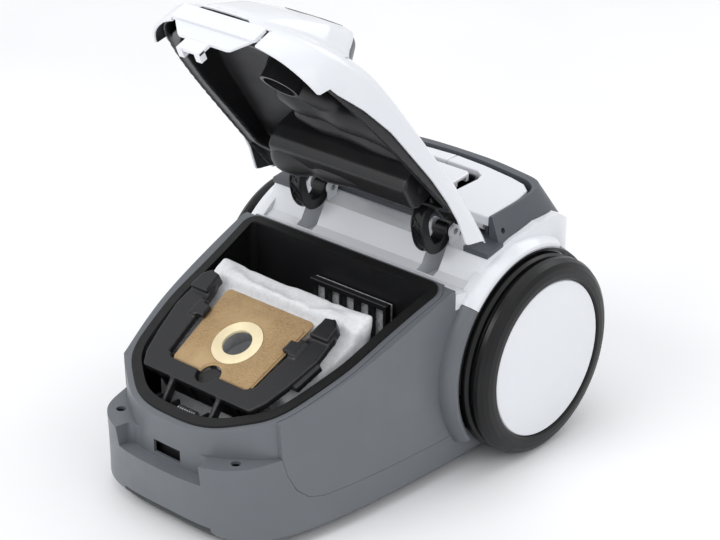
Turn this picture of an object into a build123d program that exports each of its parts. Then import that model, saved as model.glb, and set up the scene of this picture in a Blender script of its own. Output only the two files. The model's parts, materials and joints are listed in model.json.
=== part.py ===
"""Canister vacuum cleaner for paper-plate dust bags, standing with its lid open.

Millimetres, +Z up, +Y to the rear, +X to the left-hand wheel seen from the front.
Working coordinates: X = 0 is the symmetry plane, Y = 0 the big wheels' axle, Z = 0 the floor.
Everything is moved by SHIFT_Y at the end, so that the origin is under the middle of the whole object.
The lid and all that rides on it are modelled shut and turned open about the hinge line.
"""

import os
from math import cos, pi, radians, sin, sqrt

from build123d import *

# ---- driving dimensions -------------------------------------------------------------------
NOSE_Y = -320.2
TAIL_Y = 101.0
SHIFT_Y = -(NOSE_Y + TAIL_Y) / 2
FLOOR_GAP = 6.0
WALL = 2.8
PAD_Z = 79.0
PAD_HOLE = (68.0, -294.5)
RECESS_Z = 60.0
SEAM_Z = 38.0
PILLAR_Z = 156.0
GAP = 0.3

WHEEL_R = 90.0
WHEEL_IN = 128.0
WHEEL_OUT = 160.0
DISC_R = 71.5
AXLE_R = 8.0
RUN = 0.06

CASTER = (0.0, -262.0)
CASTER_R = 15.0
CASTER_TRAIL = 8.0

RIM_Y, RIM_Z, RIM_SLOPE = -80.0, 180.0, 0.35
CHAMBER_FLOOR = 20.0
CHAMBER_STEP = 60.0
CHAMBER_STEP_Y = -222.0

HINGE_Y, HINGE_Z = -38.0, 202.0
LID_OPEN = 68.0
ARM_X = 71.0

PLATE_Y, PLATE_Z, PLATE_TILT = -222.0, 137.0, 25.6
RING_R, RING_HOLE = 23.0, 13.5
HOLDER_PIN_Y, HOLDER_PIN_Z, HOLDER_PIN_R = -282.0, 94.0, 2.0

HOSE_BORE_R = 20.0

DECK_Z = 218.0
DECK_FRONT = -24.0
DECK_AXLE_Y, DECK_AXLE_Z, DECK_AXLE_R = -16.0, 205.4, 2.5

EXHAUST_LOW = (-78.0, 80.0, 68.0)
EXHAUST_HIGH = (18.0, 120.0, 142.0)

MOTOR_X, MOTOR_Z = -52.0, 98.0
REEL_X, REEL_Y, REEL_Z, REEL_R = 58.0, 8.0, 100.0, 56.0

# ---- half outlines, from the middle of the front round to the right, then straight back ----
FOOT = [(0, -311), (25, -311), (48, -309.5), (70, -304), (90, -290), (103, -266),
        (110, -240), (116, -205), (120, -165), (123, -125), (124.8, -85), (125, 60)]
WAIST = [(0, -324), (25, -323), (46, -319.5), (66, -311), (81, -297), (91, -271),
         (101, -240), (110.5, -205), (116.5, -165), (120, -125), (122, -85), (123, 60)]
SEAL = [(0, -302), (27, -300.5), (45, -295), (65, -282), (80, -269), (88, -256),
        (94, -238), (99, -218), (103, -198), (105.5, -166), (108, -135), (112, -100)]
LID = [(0, -318), (25, -317), (46, -312), (66, -302), (84, -285), (95, -262),
       (103, -238), (110, -205), (115, -165), (119, -125), (122, -85), (124, -58)]
HOUSING = [(122, -84), (123.8, -40), (124.8, 10), (123.5, 55), (112, 84), (85, 96), (40, 100.5), (0, 101)]
# Height of the lid's skin at its sides and in the middle, along Y.
LID_SKIN = [(-340, 78, 88), (-318, 96, 112), (-290, 117, 144), (-255, 140.5, 171), (-240, 147.5, 178),
            (-212, 157.5, 186.5), (-184, 166.5, 193.5), (-153, 176.5, 200.5), (-110, 189.5, 210.5),
            (-57, 200, 218), (-30, 203.5, 220.5)]


# ---- helpers -------------------------------------------------------------------------------
def inset(half, distance):
    """The half outline moved inwards by a distance, point by point along its normal."""
    moved = []
    for i, (x, y) in enumerate(half):
        before = half[i - 1] if i else (-half[1][0], half[1][1])
        after = half[i + 1] if i + 1 < len(half) else (x, y + 1.0)
        dx, dy = after[0] - before[0], after[1] - before[1]
        length = sqrt(dx * dx + dy * dy)
        moved.append((x - dy / length * distance, y + dx / length * distance))
    moved[0] = (0.0, moved[0][1])
    return moved


def outline(half, corner):
    """Closed face: a smooth curve round the front, two rounded rear corners and a straight rear edge."""
    left = [(-x, y) for x, y in reversed(half) if x > 0]
    x, y = half[-1]
    bend = corner * (1 - sqrt(0.5))
    rear = y + corner
    edges = [
        Spline(*(left + half)),
        ThreePointArc((x, y), (x - bend, rear - bend), (x - corner, rear)),
        Line((x - corner, rear), (corner - x, rear)),
        ThreePointArc((corner - x, rear), (bend - x, rear - bend), (-x, y)),
    ]
    return make_face(edges)


def straight_front(half):
    """Closed face: a straight front edge and a smooth curve round the rear, given from the front right corner."""
    left = [(-x, y) for x, y in reversed(half) if x > 0]
    x, y = half[0]
    return make_face([Line((-x, y), (x, y)), Spline(*(half + left))])


def column(face, low, high):
    """The face, pulled straight up from one height to another."""
    return extrude(Plane.XY.offset(low) * face, amount=high - low)


def side_prism(points, low_x, high_x):
    """A polygon in Y and Z, pulled along X."""
    face = make_face(Polyline(*points, close=True))
    return extrude(Plane.YZ.offset(low_x) * face, amount=high_x - low_x)


def block(low, high):
    """A box between two corners."""
    size = [b - a for a, b in zip(low, high)]
    middle = [(a + b) / 2 for a, b in zip(low, high)]
    return Pos(*middle) * Box(*size)


def rod(start, end, radius):
    """A round bar from one point to another."""
    line = Vector(*end) - Vector(*start)
    plane = Plane(origin=start, z_dir=line)
    return extrude(plane * Circle(radius), amount=line.length)


def tube(start, end, outer, inner):
    """A round bar with a hole right through it."""
    line = (Vector(*end) - Vector(*start)).normalized()
    return rod(start, end, outer) - rod(tuple(Vector(*start) - line), tuple(Vector(*end) + line), inner)


def turned_x(profile, y, z):
    """A profile of (x, radius) points, turned about a line along X."""
    face = make_face(Polyline(*profile, close=True))
    return Pos(0, y, z) * revolve(face, Axis.X)


def mirrored(shape):
    """The same shape on the other side of the symmetry plane."""
    return mirror(shape, Plane.YZ)


def rim_plane(offset):
    """The sloping plane of the chamber's rim, raised by an offset measured straight up."""
    return Plane(origin=(0, RIM_Y, RIM_Z + offset), x_dir=(1, 0, 0), z_dir=(0, -RIM_SLOPE, 1))


def under_rim(shape, offset):
    return split(shape, bisect_by=rim_plane(offset), keep=Keep.BOTTOM)


def over_rim(shape, offset):
    return split(shape, bisect_by=rim_plane(offset), keep=Keep.TOP)


def plate_place(x, s, up):
    """A point given on the bag plate: across, up the slope, and square to the plate."""
    tilt = radians(PLATE_TILT)
    return (x, PLATE_Y + s * cos(tilt) - up * sin(tilt), PLATE_Z + s * sin(tilt) + up * cos(tilt))


PLATE_PLANE = Plane(
    origin=(0, PLATE_Y, PLATE_Z),
    x_dir=(1, 0, 0),
    z_dir=(0, -sin(radians(PLATE_TILT)), cos(radians(PLATE_TILT))),
)


def on_plate(face, low, high):
    """A face drawn on the bag plate, pulled square to it."""
    return extrude(PLATE_PLANE.offset(low) * face, amount=high - low)


def rounded_polygon(points, radius):
    """A closed polygon with all its corners rounded."""
    face = make_face(Polyline(*points, close=True))
    return fillet(face.vertices(), radius)


# ---- body envelope --------------------------------------------------------------------------
def envelope(shrink, low, high):
    """The outside of the lower body between two heights: foot and waist outlines joined, and straight above."""
    foot = outline(inset(FOOT, shrink), 38 - shrink)
    waist = outline(inset(WAIST, shrink), 36 - shrink)
    sole = outline(inset(FOOT, shrink + 7), 31 - shrink)
    skirt = loft([Plane.XY.offset(14) * foot, Plane.XY.offset(PAD_Z) * waist])
    bottom = loft([Plane.XY.offset(FLOOR_GAP) * sole, Plane.XY.offset(14) * foot])
    top = column(waist, PAD_Z, 240)
    whole = bottom + skirt + top
    return whole & block((-200, -400, low), (200, 200, high))


def panel_side(grow):
    """Where the side panels are, seen from the side: straight along the bottom, curving up at the front."""
    g = grow
    return [(-60 + g, SEAM_Z - g), (-234, SEAM_Z - g), (-247, 41 - g), (-257 - g, 50 - g),
            (-263 - g, 64), (-266 - g, 82), (-267 - g, 108), (-267 - g, 200), (-60 + g, 200)]


UPPER = inset(SEAL, -5.0)


def base_shell():
    low = envelope(0, FLOOR_GAP, PAD_Z)
    low -= side_prism(panel_side(GAP), -200, 200) & low
    low -= block((-200, -84, SEAM_Z), (200, 200, 120))
    upper = under_rim(column(outline(UPPER, 16), 20, 200), -1.5)
    body = low + upper
    recess = rounded_polygon([(-51, -330), (51, -330), (46, -304), (-46, -304)], 5)
    body -= column(recess, RECESS_Z, 90) - column(outline(UPPER, 16), 20, 200)
    inner = envelope(WALL, FLOOR_GAP + WALL, PAD_Z - WALL) - block((-53, -340, RECESS_Z - WALL), (53, -300, 90))
    inner -= side_prism(panel_side(GAP + WALL), -200, 200) & block((-200, -400, 0), (200, -84, 300))
    inner -= block((-200, -86.8, 10), (200, -84, 120))
    body -= inner
    body -= under_rim(column(outline(inset(UPPER, WALL), 13.2), FLOOR_GAP + WALL, 200), -5.0)
    body -= column(outline(inset(SEAL, 2.8), 9.2), 60, 200) & block((-200, -400, 90), (200, -84.5, 200))
    body -= block((-24, -90, 96), (62, -80, 144))
    body -= block((-15.5, -310, 63.5), (15.5, -296, 75.5))
    for x in (-PAD_HOLE[0], PAD_HOLE[0]):
        body -= rod((x, PAD_HOLE[1], 60), (x, PAD_HOLE[1], PAD_Z + 1), 4.2)
        body += tube((x, PAD_HOLE[1], 40), (x, PAD_HOLE[1], PAD_Z - 12), 6.8, 2.0)
    cx, cy = CASTER
    body -= rod((cx, cy, 0), (cx, cy, 36), 31)
    body += tube((cx, cy, 8), (cx, cy, 38.5), 33, 31)
    body += tube((cx, cy, 36), (cx, cy, 38.5), 31.5, 5.0 + RUN)
    body += tube((cx, cy, 36), (cx, cy, 56), 9.0, 5.0 + RUN)
    return biggest(body - front_grip_space(0.25))


def front_grip_space(grow):
    return block((-51 - grow, -330, 0), (51 + grow, -289 + grow, 17 + grow))


def front_grip():
    """Soft strip under the nose, flush with its lower edge."""
    outside = envelope(0.0, FLOOR_GAP - 1, 40)
    inside = envelope(6.0, FLOOR_GAP - 1, 40)
    return (outside - inside) & front_grip_space(0)


def side_panel():
    """Right-hand outer skin of the body, with a soft shoulder along its top."""
    outside = envelope(0, FLOOR_GAP, 238) - column(outline(inset(UPPER, -GAP), 16.3), 0, 240)
    inside = envelope(WALL, 0, 238)
    panel = outside & side_prism(panel_side(0), 0, 200)
    panel -= block((0, -84 - GAP, PILLAR_Z - GAP), (200, 0, 240))
    panel -= block((0, -84 - GAP, 0), (119.0, 0, 240))
    panel = under_rim(panel, -2.0) - block((110, -100, 174.6), (140, -80, 180))
    hollow = inside & side_prism(panel_side(-WALL), 0, 200)
    hollow = under_rim(hollow, -2.0 - WALL)
    panel -= hollow
    return biggest(panel - rod((0, 0, WHEEL_R), (200, 0, WHEEL_R), 97.0))


def dust_chamber():
    """Black tub that the bag hangs in: shallow over the caster, deep behind it."""
    wall = 2.5
    out = inset(SEAL, 3.0)
    ins = inset(SEAL, 3.0 + wall)
    front = block((-200, -400, CHAMBER_STEP), (200, 0, 300))
    back = block((-200, CHAMBER_STEP_Y, CHAMBER_FLOOR), (200, 0, 300))
    front_in = block((-200, -400, CHAMBER_STEP + wall), (200, 0, 300))
    back_in = block((-200, CHAMBER_STEP_Y + wall, CHAMBER_FLOOR + wall), (200, 0, 300))
    tub = under_rim(column(outline(out, 9), 0, 240), -2.4) & (front + back)
    tub -= column(outline(ins, 6.5), 0, 300) & (front_in + back_in)
    tub -= block((-20, -100, 100), (58, -80, 140))
    for x in (-28.5, 64.5):
        tub += block((x - 2, -98.6, 86), (x + 2, -93.0, 158))
    tub += block((-30.5, -98.6, 86), (66.5, -93.0, 90))
    return biggest(tub)


def chamber_seal():
    """Rubber ring round the chamber's mouth, a soft bead on a flat foot."""
    ring = column(outline(SEAL, 12), 60, 240) - column(outline(inset(SEAL, 8.5), 4), 0, 300)
    return over_rim(under_rim(ring, 0.6), -1.5 + 0.02)


def grille_frame():
    """Frame of the motor filter with four upright openings. It lifts out."""
    frame = block((-26.2, -101.3, 91), (62.2, -97.9, 147))
    pitch = 19.2
    for i in range(4):
        x = -18.5 + i * pitch
        frame -= block((x, -103, 102), (x + 12.5, -95, 136))
    frame += block((-26.2, -104.3, 142), (62.2, -101.3, 147))
    return frame


def motor_filter():
    """Flat filter pad held behind the grille frame."""
    return block((-25.8, -97.8, 91), (61.8, -95.4, 146))


# ---- rear -----------------------------------------------------------------------------------
TRIM_LINE = [(-47, 191), (-12, 198), (24, 202), (57, 199), (80, 187), (110, 176)]


def rear_side(grow):
    """Side view of the rear housing. Its front is a concave ramp that the lid closes over."""
    g = grow
    return [(-84 + GAP + g, SEAM_Z - 1), (-84 + GAP + g, 171 - g), (-65 + g, 167 - g), (-57 + g, 171 - g),
            (-51 + g, 181 - g), (-46 + g, 190.7 - g), (-12, 197.7 - g), (24, 201.7 - g), (57, 198.7 - g),
            (75, 188 - g), (88 - g, 165), (98 - g, 140), (101.5 - g, 100), (100 - g, 60), (97 - g, SEAM_Z - 1)]


def housing_plan(shrink):
    """Plan of the rear housing, or of the room inside it."""
    moved = [(max(0.0, x - shrink), y + (shrink if y < 0 else 0)) for x, y in HOUSING]
    return straight_front([(x, y - shrink if y > 80 else y) for x, y in moved])


def rear_housing():
    """White rear casing with hinge pockets, hinge bosses, filter door opening and cord outlet hole."""
    solid = column(housing_plan(0), SEAM_Z + GAP, 230) & side_prism(rear_side(0), -200, 200)
    solid -= column(housing_plan(WALL), 0, 230) & side_prism(rear_side(WALL), -200, 200)
    for side in (-1, 1):
        solid -= block((min(side * 118.7, side * 200), -84, 0), (max(side * 118.7, side * 200), -59.4, PILLAR_Z))
    for side in (-1, 1):
        pocket = side_prism([(-90, 168), (-64, 168), (-56, 159), (-22, 159), (-22, 230), (-90, 230)],
                            side * ARM_X - 9.5, side * ARM_X + 9.5)
        cup = side_prism([(-86, 164), (-66, 164), (-58, 156), (-18, 156), (-18, 196.5), (-46, 190.6),
                          (-51, 180.5), (-57, 170.5), (-65, 166.6), (-83, 170)],
                         side * ARM_X - 12.5, side * ARM_X + 12.5)
        solid += cup & block((-200, -83.5, 150), (200, 0, 230))
        solid -= pocket
        for x in (side * ARM_X - 12.5, side * ARM_X + 9.5):
            solid += rod((x, HINGE_Y, HINGE_Z), (x + 3, HINGE_Y, HINGE_Z), 6.5)
            solid += block((x, HINGE_Y - 5, 186), (x + 3, HINGE_Y + 5, HINGE_Z))
        solid -= rod((side * ARM_X - 13.5, HINGE_Y, HINGE_Z), (side * ARM_X + 13.5, HINGE_Y, HINGE_Z), 3.0)
        slot = side_prism([(-82, 172), (-60, 172), (-54, 178), (-54, 184), (-60, 184), (-82, 184)],
                          side * 98 - 2, side * 98 + 5)
        solid -= slot
        solid -= rod((side * 110, 0, WHEEL_R), (side * 140, 0, WHEEL_R), 12.0)
    lx, ly, lz = EXHAUST_LOW
    hx, hy, hz = EXHAUST_HIGH
    solid += block((lx - 1, 72, lz - 1), (hx + 1, 97, hz + 1))
    solid -= block((lx + 1.8, 70, lz + 1.8), (hx - 1.8, 96, hz - 1.8))
    solid -= block((lx, 95, lz), (hx, hy, hz))
    solid -= rod((60, 70, 62), (60, 120, 62), 8.1) + rod((60, 98.2, 62), (60, 120, 62), 10.8)
    solid -= block((-48, -9, 186), (48, 50, 230))
    return solid


def top_trim():
    """Dark cap along the top edge: a sloping band down to the sides, open in the middle for the deck."""
    front = DECK_FRONT - 2
    low = [(125.5, front), (126, 10), (123.5, 50), (112, 76), (85, 86), (40, 90), (0, 91)]
    high = [(113, front), (110, 12), (105, 42), (97, 60), (75, 68), (40, 73.5), (0, 75)]
    cap = loft([Plane.XY.offset(186) * straight_front(low), Plane.XY.offset(220) * straight_front(high)])
    line = TRIM_LINE
    cap -= side_prism([(-200, 100), (-200, 188)] + line + [(200, 170), (200, 100)], -200, 200)
    wing = side_prism([(-46.5, 191.3), (DECK_FRONT - 1, 195.8), (DECK_FRONT - 1, 199), (-46.5, 196)], 99, 125.3)
    cap += wing + mirrored(wing)
    well = [(110.2, front - 3), (109, -2), (105.7, 25), (100, 46), (89, 55.6), (70, 60.3), (35, 65.6), (0, 67.6)]
    cap -= column(straight_front(well), 199.5, 240)
    cap -= block((-47.6, -10, 150), (47.6, 51, 240))
    for side in (-1, 1):
        for x in (52, 103):
            cap += block((side * x - 1.5, DECK_AXLE_Y - 4, 198), (side * x + 1.5, DECK_AXLE_Y + 4, 208.4))
    cap -= rod((-120, DECK_AXLE_Y, DECK_AXLE_Z), (120, DECK_AXLE_Y, DECK_AXLE_Z), DECK_AXLE_R)
    cap -= rod((-121, DECK_AXLE_Y, DECK_AXLE_Z), (-104.5, DECK_AXLE_Y, DECK_AXLE_Z), DECK_AXLE_R + 1)
    return cap


def recess_tray():
    """Dark hollow under the carry handle."""
    outer = column(rounded_polygon([(-46.6, -9), (46.6, -9), (44.6, 46.6), (-44.6, 46.6)], 11), 186.5, 214)
    inner = column(rounded_polygon([(-44.8, -7.2), (44.8, -7.2), (42.8, 44.8), (-42.8, 44.8)], 9.2), 188.3, 230)
    return outer - inner - block((-44, -12, 207), (44, 4, 230))


def deck_axle():
    return rod((-104.4, DECK_AXLE_Y, DECK_AXLE_Z), (104.4, DECK_AXLE_Y, DECK_AXLE_Z), DECK_AXLE_R)


def pedal():
    """Right-hand foot pedal: one half of the deck, with an arm behind the recess."""
    shape = [(0.5, 65.5), (0.5, 50.5), (36, 49.5), (45, 44), (48.5, 34), (49.5, -8), (54.5, DECK_FRONT),
             (107.6, DECK_FRONT), (103, 24), (97.5, 43.5), (87, 52.5), (69, 57.5), (35, 63)]
    plate = column(make_face(Polyline(*shape, close=True)), 209.4, DECK_Z)
    plate = fillet(plate.edges().filter_by(Axis.Z).sort_by(Axis.X)[3:-1], 3.0)
    plate = fillet(plate.faces().sort_by(Axis.Z)[-1].edges(), 1.6)
    plate -= block((57, -20, 200), (101, 48, 215.4))
    barrel = rod((56, DECK_AXLE_Y, DECK_AXLE_Z), (99, DECK_AXLE_Y, DECK_AXLE_Z), 4.6)
    web = block((56, DECK_AXLE_Y - 2.5, DECK_AXLE_Z), (99, DECK_AXLE_Y + 2.5, 216))
    shaped = plate + barrel + web
    return shaped - rod((50, DECK_AXLE_Y, DECK_AXLE_Z), (110, DECK_AXLE_Y, DECK_AXLE_Z), DECK_AXLE_R + RUN)


def carry_handle():
    """White grip that lies in the recess and swings up about the deck axle."""
    top = column(rounded_polygon([(-41, DECK_FRONT + 2), (41, DECK_FRONT + 2), (33.5, 44), (-33.5, 44)], 6),
                 210.5, DECK_Z - 0.5)
    top = fillet(top.faces().sort_by(Axis.Z)[-1].edges(), 1.8)
    top -= block((-36, -6, 205), (36, 36, 214.5)) - block((-3, -6, 205), (3, 36, 214.5))
    barrel = rod((-40, DECK_AXLE_Y, DECK_AXLE_Z), (40, DECK_AXLE_Y, DECK_AXLE_Z), 4.6)
    web = block((-40, DECK_AXLE_Y - 3, DECK_AXLE_Z), (40, DECK_AXLE_Y + 3, 212))
    handle = top + barrel + web
    return handle - rod((-50, DECK_AXLE_Y, DECK_AXLE_Z), (50, DECK_AXLE_Y, DECK_AXLE_Z), DECK_AXLE_R + RUN)


def wheel_arch():
    """Black half ring on the casing over the right-hand wheel."""
    ring = turned_x([(125.2, 92.0), (136, 92.0), (136, 94.2), (127.5, 96.5), (125.2, 96.5)], 0, WHEEL_R)
    return ring & block((100, -100, 84), (200, 100, 200))


def exhaust_frame():
    """Cassette of the exhaust filter, just inside the rear wall."""
    lx, ly, lz = EXHAUST_LOW
    hx, hy, hz = EXHAUST_HIGH
    frame = block((lx + 2.4, 74, lz + 2.4), (hx - 2.4, 95.5, hz - 2.4))
    return frame - block((lx + 7, 70, lz + 7), (hx - 7, 100, hz - 7))


def exhaust_filter():
    lx, ly, lz = EXHAUST_LOW
    hx, hy, hz = EXHAUST_HIGH
    low_y, high_y, folds = 75.0, 89.0, 14
    low_x, high_x = lx + 7.05, hx - 7.05
    step = (high_x - low_x) / folds
    front = [(low_x + i * step, low_y if i % 2 else low_y + 3) for i in range(folds + 1)]
    back = [(x, y + high_y - low_y - 3) for x, y in reversed(front)]
    return column(make_face(Polyline(*(front + back), close=True)), lz + 7.05, hz - 7.05)


def exhaust_door():
    """Slatted rear cover of the exhaust cassette."""
    lx, ly, lz = EXHAUST_LOW
    hx, hy, hz = EXHAUST_HIGH
    door = block((lx + 0.6, 95.5, lz + 0.6), (hx - 0.6, 99.0, hz - 0.6))
    for i in range(9):
        z = lz + 9 + i * 6.6
        door -= block((lx + 8, 90, z), (hx - 8, 110, z + 3.2))
    door += block(((lx + hx) / 2 - 1.5, 95.5, lz + 0.6), ((lx + hx) / 2 + 1.5, 99.0, hz - 0.6))
    return door


# ---- inside the rear --------------------------------------------------------------------------
def motor_bracket():
    """Wall plate with a round seat that carries the motor on rubber."""
    plate = block((-114, -80.5, 40), (12, -77.5, 158))
    plate -= rod((MOTOR_X, -90, MOTOR_Z), (MOTOR_X, -70, MOTOR_Z), 30)
    plate += tube((MOTOR_X, -78, MOTOR_Z), (MOTOR_X, -66, MOTOR_Z), 62, 59.2)
    plate -= block((-24, -90, 96), (13, -76, 144)) - tube((MOTOR_X, -79, MOTOR_Z), (MOTOR_X, -66, MOTOR_Z), 62, 59.2)
    foot = block((-100, -77.5, FLOOR_GAP + WALL), (-4, 30, FLOOR_GAP + WALL + 3))
    rib = block((-100, -77.5, FLOOR_GAP + WALL), (-96, -60, 50)) + block((-8, -77.5, FLOOR_GAP + WALL), (-4, -60, 50))
    plate += block((-100, -80.5, FLOOR_GAP + WALL), (-4, -77.5, 41))
    return plate + foot + rib


def motor_seal():
    """Front rubber mount between the seat and the fan housing."""
    return tube((MOTOR_X, -77.4, MOTOR_Z), (MOTOR_X, -66, MOTOR_Z), 59.15, 56.1)


def fan_housing():
    """Pressed steel fan cover with its inlet eye."""
    shell = rod((MOTOR_X, -76, MOTOR_Z), (MOTOR_X, -40, MOTOR_Z), 56.0)
    shell -= rod((MOTOR_X, -74.8, MOTOR_Z), (MOTOR_X, -41.2, MOTOR_Z), 54.8)
    shell -= rod((MOTOR_X, -80, MOTOR_Z), (MOTOR_X, -70, MOTOR_Z), 17)
    shell -= rod((MOTOR_X, -45, MOTOR_Z), (MOTOR_X, -30, MOTOR_Z), 9)
    for i in range(6):
        angle = i * pi / 3 + 0.3
        x, z = MOTOR_X + 46 * cos(angle), MOTOR_Z + 46 * sin(angle)
        shell -= rod((x, -45, z), (x, -30, z), 5)
    return shell


def motor_body():
    """Open motor frame with its stator pack, field coils and rear bearing cup."""
    ring = tube((MOTOR_X, -39.9, MOTOR_Z), (MOTOR_X, -36, MOTOR_Z), 40, 9)
    stator = tube((MOTOR_X, -26, MOTOR_Z), (MOTOR_X, 4, MOTOR_Z), 38, 21)
    cup = tube((MOTOR_X, 16, MOTOR_Z), (MOTOR_X, 20, MOTOR_Z), 38, 5.06)
    legs = [block((MOTOR_X - 36, -37, MOTOR_Z - 5), (MOTOR_X - 24, 18, MOTOR_Z + 5)),
            block((MOTOR_X + 24, -37, MOTOR_Z - 5), (MOTOR_X + 36, 18, MOTOR_Z + 5))]
    body = ring + stator + cup
    for leg in legs:
        body += leg
    for side in (-1, 1):
        body += block((MOTOR_X - 14, -32, MOTOR_Z + side * 29 - 4), (MOTOR_X + 14, 9, MOTOR_Z + side * 29 + 4))
    return body


def motor_rotor():
    """Shaft, armature, commutator and fan wheel in one turning piece."""
    rotor = rod((MOTOR_X, -72, MOTOR_Z), (MOTOR_X, 24, MOTOR_Z), 5.0)
    rotor += rod((MOTOR_X, -24, MOTOR_Z), (MOTOR_X, 2, MOTOR_Z), 20.4)
    rotor += rod((MOTOR_X, 5, MOTOR_Z), (MOTOR_X, 14, MOTOR_Z), 10.5)
    rotor += tube((MOTOR_X, -73, MOTOR_Z), (MOTOR_X, -72, MOTOR_Z), 52, 18)
    rotor += rod((MOTOR_X, -62, MOTOR_Z), (MOTOR_X, -61, MOTOR_Z), 52)
    for i in range(8):
        blade = block((9, -72.1, -0.6), (51, -61.9, 0.6))
        rotor += Pos(MOTOR_X, 0, MOTOR_Z) * Rot(0, i * 45 + 12, 0) * (Pos(0, 0, 5) * blade)
    return rotor


def motor_rear_mount():
    """Rear rubber mount, a cup on a post."""
    cup = tube((MOTOR_X, 20.1, MOTOR_Z), (MOTOR_X, 27, MOTOR_Z), 14, 6.5)
    post = block((MOTOR_X - 8, 21, FLOOR_GAP + WALL + 3.1), (MOTOR_X + 8, 26, MOTOR_Z - 12))
    return cup + post


def reel_bracket():
    """Plate with the cord reel's fixed axle."""
    plate = block((REEL_X + 30, REEL_Y - 55, FLOOR_GAP + WALL), (REEL_X + 33, REEL_Y + 60, 170))
    plate += rod((REEL_X - 26, REEL_Y, REEL_Z), (REEL_X + 31, REEL_Y, REEL_Z), 7.0)
    plate += block((REEL_X + 10, REEL_Y - 40, FLOOR_GAP + WALL), (REEL_X + 33, REEL_Y + 45, FLOOR_GAP + WALL + 3))
    return plate


def cord_reel():
    """Drum that the mains cord winds on, with its two flanges."""
    drum = tube((REEL_X - 24, REEL_Y, REEL_Z), (REEL_X + 26, REEL_Y, REEL_Z), 30, 27)
    drum += tube((REEL_X - 24, REEL_Y, REEL_Z), (REEL_X + 26, REEL_Y, REEL_Z), 10, 7.0 + RUN)
    drum += tube((REEL_X, REEL_Y, REEL_Z), (REEL_X + 2, REEL_Y, REEL_Z), 28, 9)
    for x in (REEL_X - 24, REEL_X + 24):
        flange = tube((x, REEL_Y, REEL_Z), (x + 2, REEL_Y, REEL_Z), REEL_R, 29)
        for i in range(6):
            angle = i * pi / 3
            y, z = REEL_Y + 43 * cos(angle), REEL_Z + 43 * sin(angle)
            flange -= rod((x - 1, y, z), (x + 3, y, z), 9)
        drum += flange
    return drum


def cord_outlet():
    """Smooth-lipped bush in the rear wall that the cord would run through."""
    bush = tube((60, 92, 62), (60, 100.5, 62), 8.0, 4.2)
    lip = tube((60, 98.4, 62), (60, TAIL_Y, 62), 10.5, 4.2)
    return bush + lip


def circuit_board():
    """Speed control board with its capacitor, heat sink and terminal block."""
    board = block((-112, 38, 48), (-62, 39.6, 92))
    board += rod((-100, 39, 74), (-100, 62, 74), 8)
    board += block((-88, 39.4, 54), (-70, 50, 72))
    board += block((-88, 39.4, 78), (-66, 46, 88))
    return board


def power_switch():
    """Push switch that the right-hand pedal works."""
    body = block((70, 44, 168), (88, 58, 190))
    return body + rod((79, 51, 190), (79, 51, 196), 4)


def wheel_axles():
    """Two stub axles with their flanges, bolted to the casing."""
    stub = rod((100, 0, WHEEL_R), (154, 0, WHEEL_R), AXLE_R)
    stub += rod((118, 0, WHEEL_R), (121.2, 0, WHEEL_R), 20)
    stub += rod((121.2, 0, WHEEL_R), (127.4, 0, WHEEL_R), 11.8)
    return Compound([stub.solid(), mirrored(stub).solid()])


# ---- wheels --------------------------------------------------------------------------------
def tyre():
    """Right-hand tyre: two ribs with a groove between them."""
    profile = [(WHEEL_IN, 66), (WHEEL_IN, 86), (WHEEL_IN + 2.5, 89.4), (132, WHEEL_R), (138.5, WHEEL_R),
               (141.5, 88.4), (142.4, 85.5), (144.2, 85.5), (145.2, 88.2), (148, WHEEL_R), (152, 89.6),
               (156.5, 87), (159, 83), (WHEEL_OUT, 78), (WHEEL_OUT, 73.6), (158.9, 72.0), (153.5, 71.9), (153.5, 66)]
    return turned_x(profile, 0, WHEEL_R)


def wheel_disc():
    """White cover that snaps on the wheel, slightly domed."""
    profile = [(155.2, 0), (155.2, 18), (154.0, 50), (153.8, DISC_R), (157.6, DISC_R), (158.5, 70.6),
               (160.2, 50), (161.2, 25), (161.5, 0)]
    disc = turned_x(profile, 0, WHEEL_R)
    return disc & rod((120, 0, WHEEL_R), (200, 0, WHEEL_R), DISC_R)


def wheel_core():
    """Spoked wheel body with the axle bore."""
    core = tube((130, 0, WHEEL_R), (153.6, 0, WHEEL_R), 65.9, 61.5)
    core += tube((129, 0, WHEEL_R), (153.6, 0, WHEEL_R), 14, 7.5)
    core += tube((141, 0, WHEEL_R), (143, 0, WHEEL_R), 62, 10)
    for i in range(6):
        spoke = block((131, 11, -1.5), (153, 63, 1.5))
        core += Pos(0, 0, WHEEL_R) * Rot(i * 60, 0, 0) * spoke
    core -= rod((125, 0, WHEEL_R), (154.3, 0, WHEEL_R), AXLE_R + RUN)
    return core


def caster_fork():
    cx, cy = CASTER
    wy = cy + CASTER_TRAIL
    fork = rod((cx, cy, 32.0), (cx, cy, 55.0), 5.0)
    fork += rod((cx, cy, 31.5), (cx, cy, 34.5), 22)
    for side in (-1, 1):
        fork += side_prism([(wy - 5, 12), (wy + 5, 12), (wy + 9, 32), (wy - 15, 32)], side * 9.5 - 1.5, side * 9.5 + 1.5)
    fork -= rod((cx - 20, wy, CASTER_R), (cx + 20, wy, CASTER_R), 2.0)
    return fork


def caster_axle():
    wy = CASTER[1] + CASTER_TRAIL
    return rod((-11, wy, CASTER_R), (11, wy, CASTER_R), 2.0)


def caster_wheel():
    wy = CASTER[1] + CASTER_TRAIL
    profile = [(-7.2, 2.0 + RUN), (-7.2, 13), (-5.5, CASTER_R), (5.5, CASTER_R), (7.2, 13), (7.2, 2.0 + RUN)]
    return turned_x(profile, wy, CASTER_R)


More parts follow.
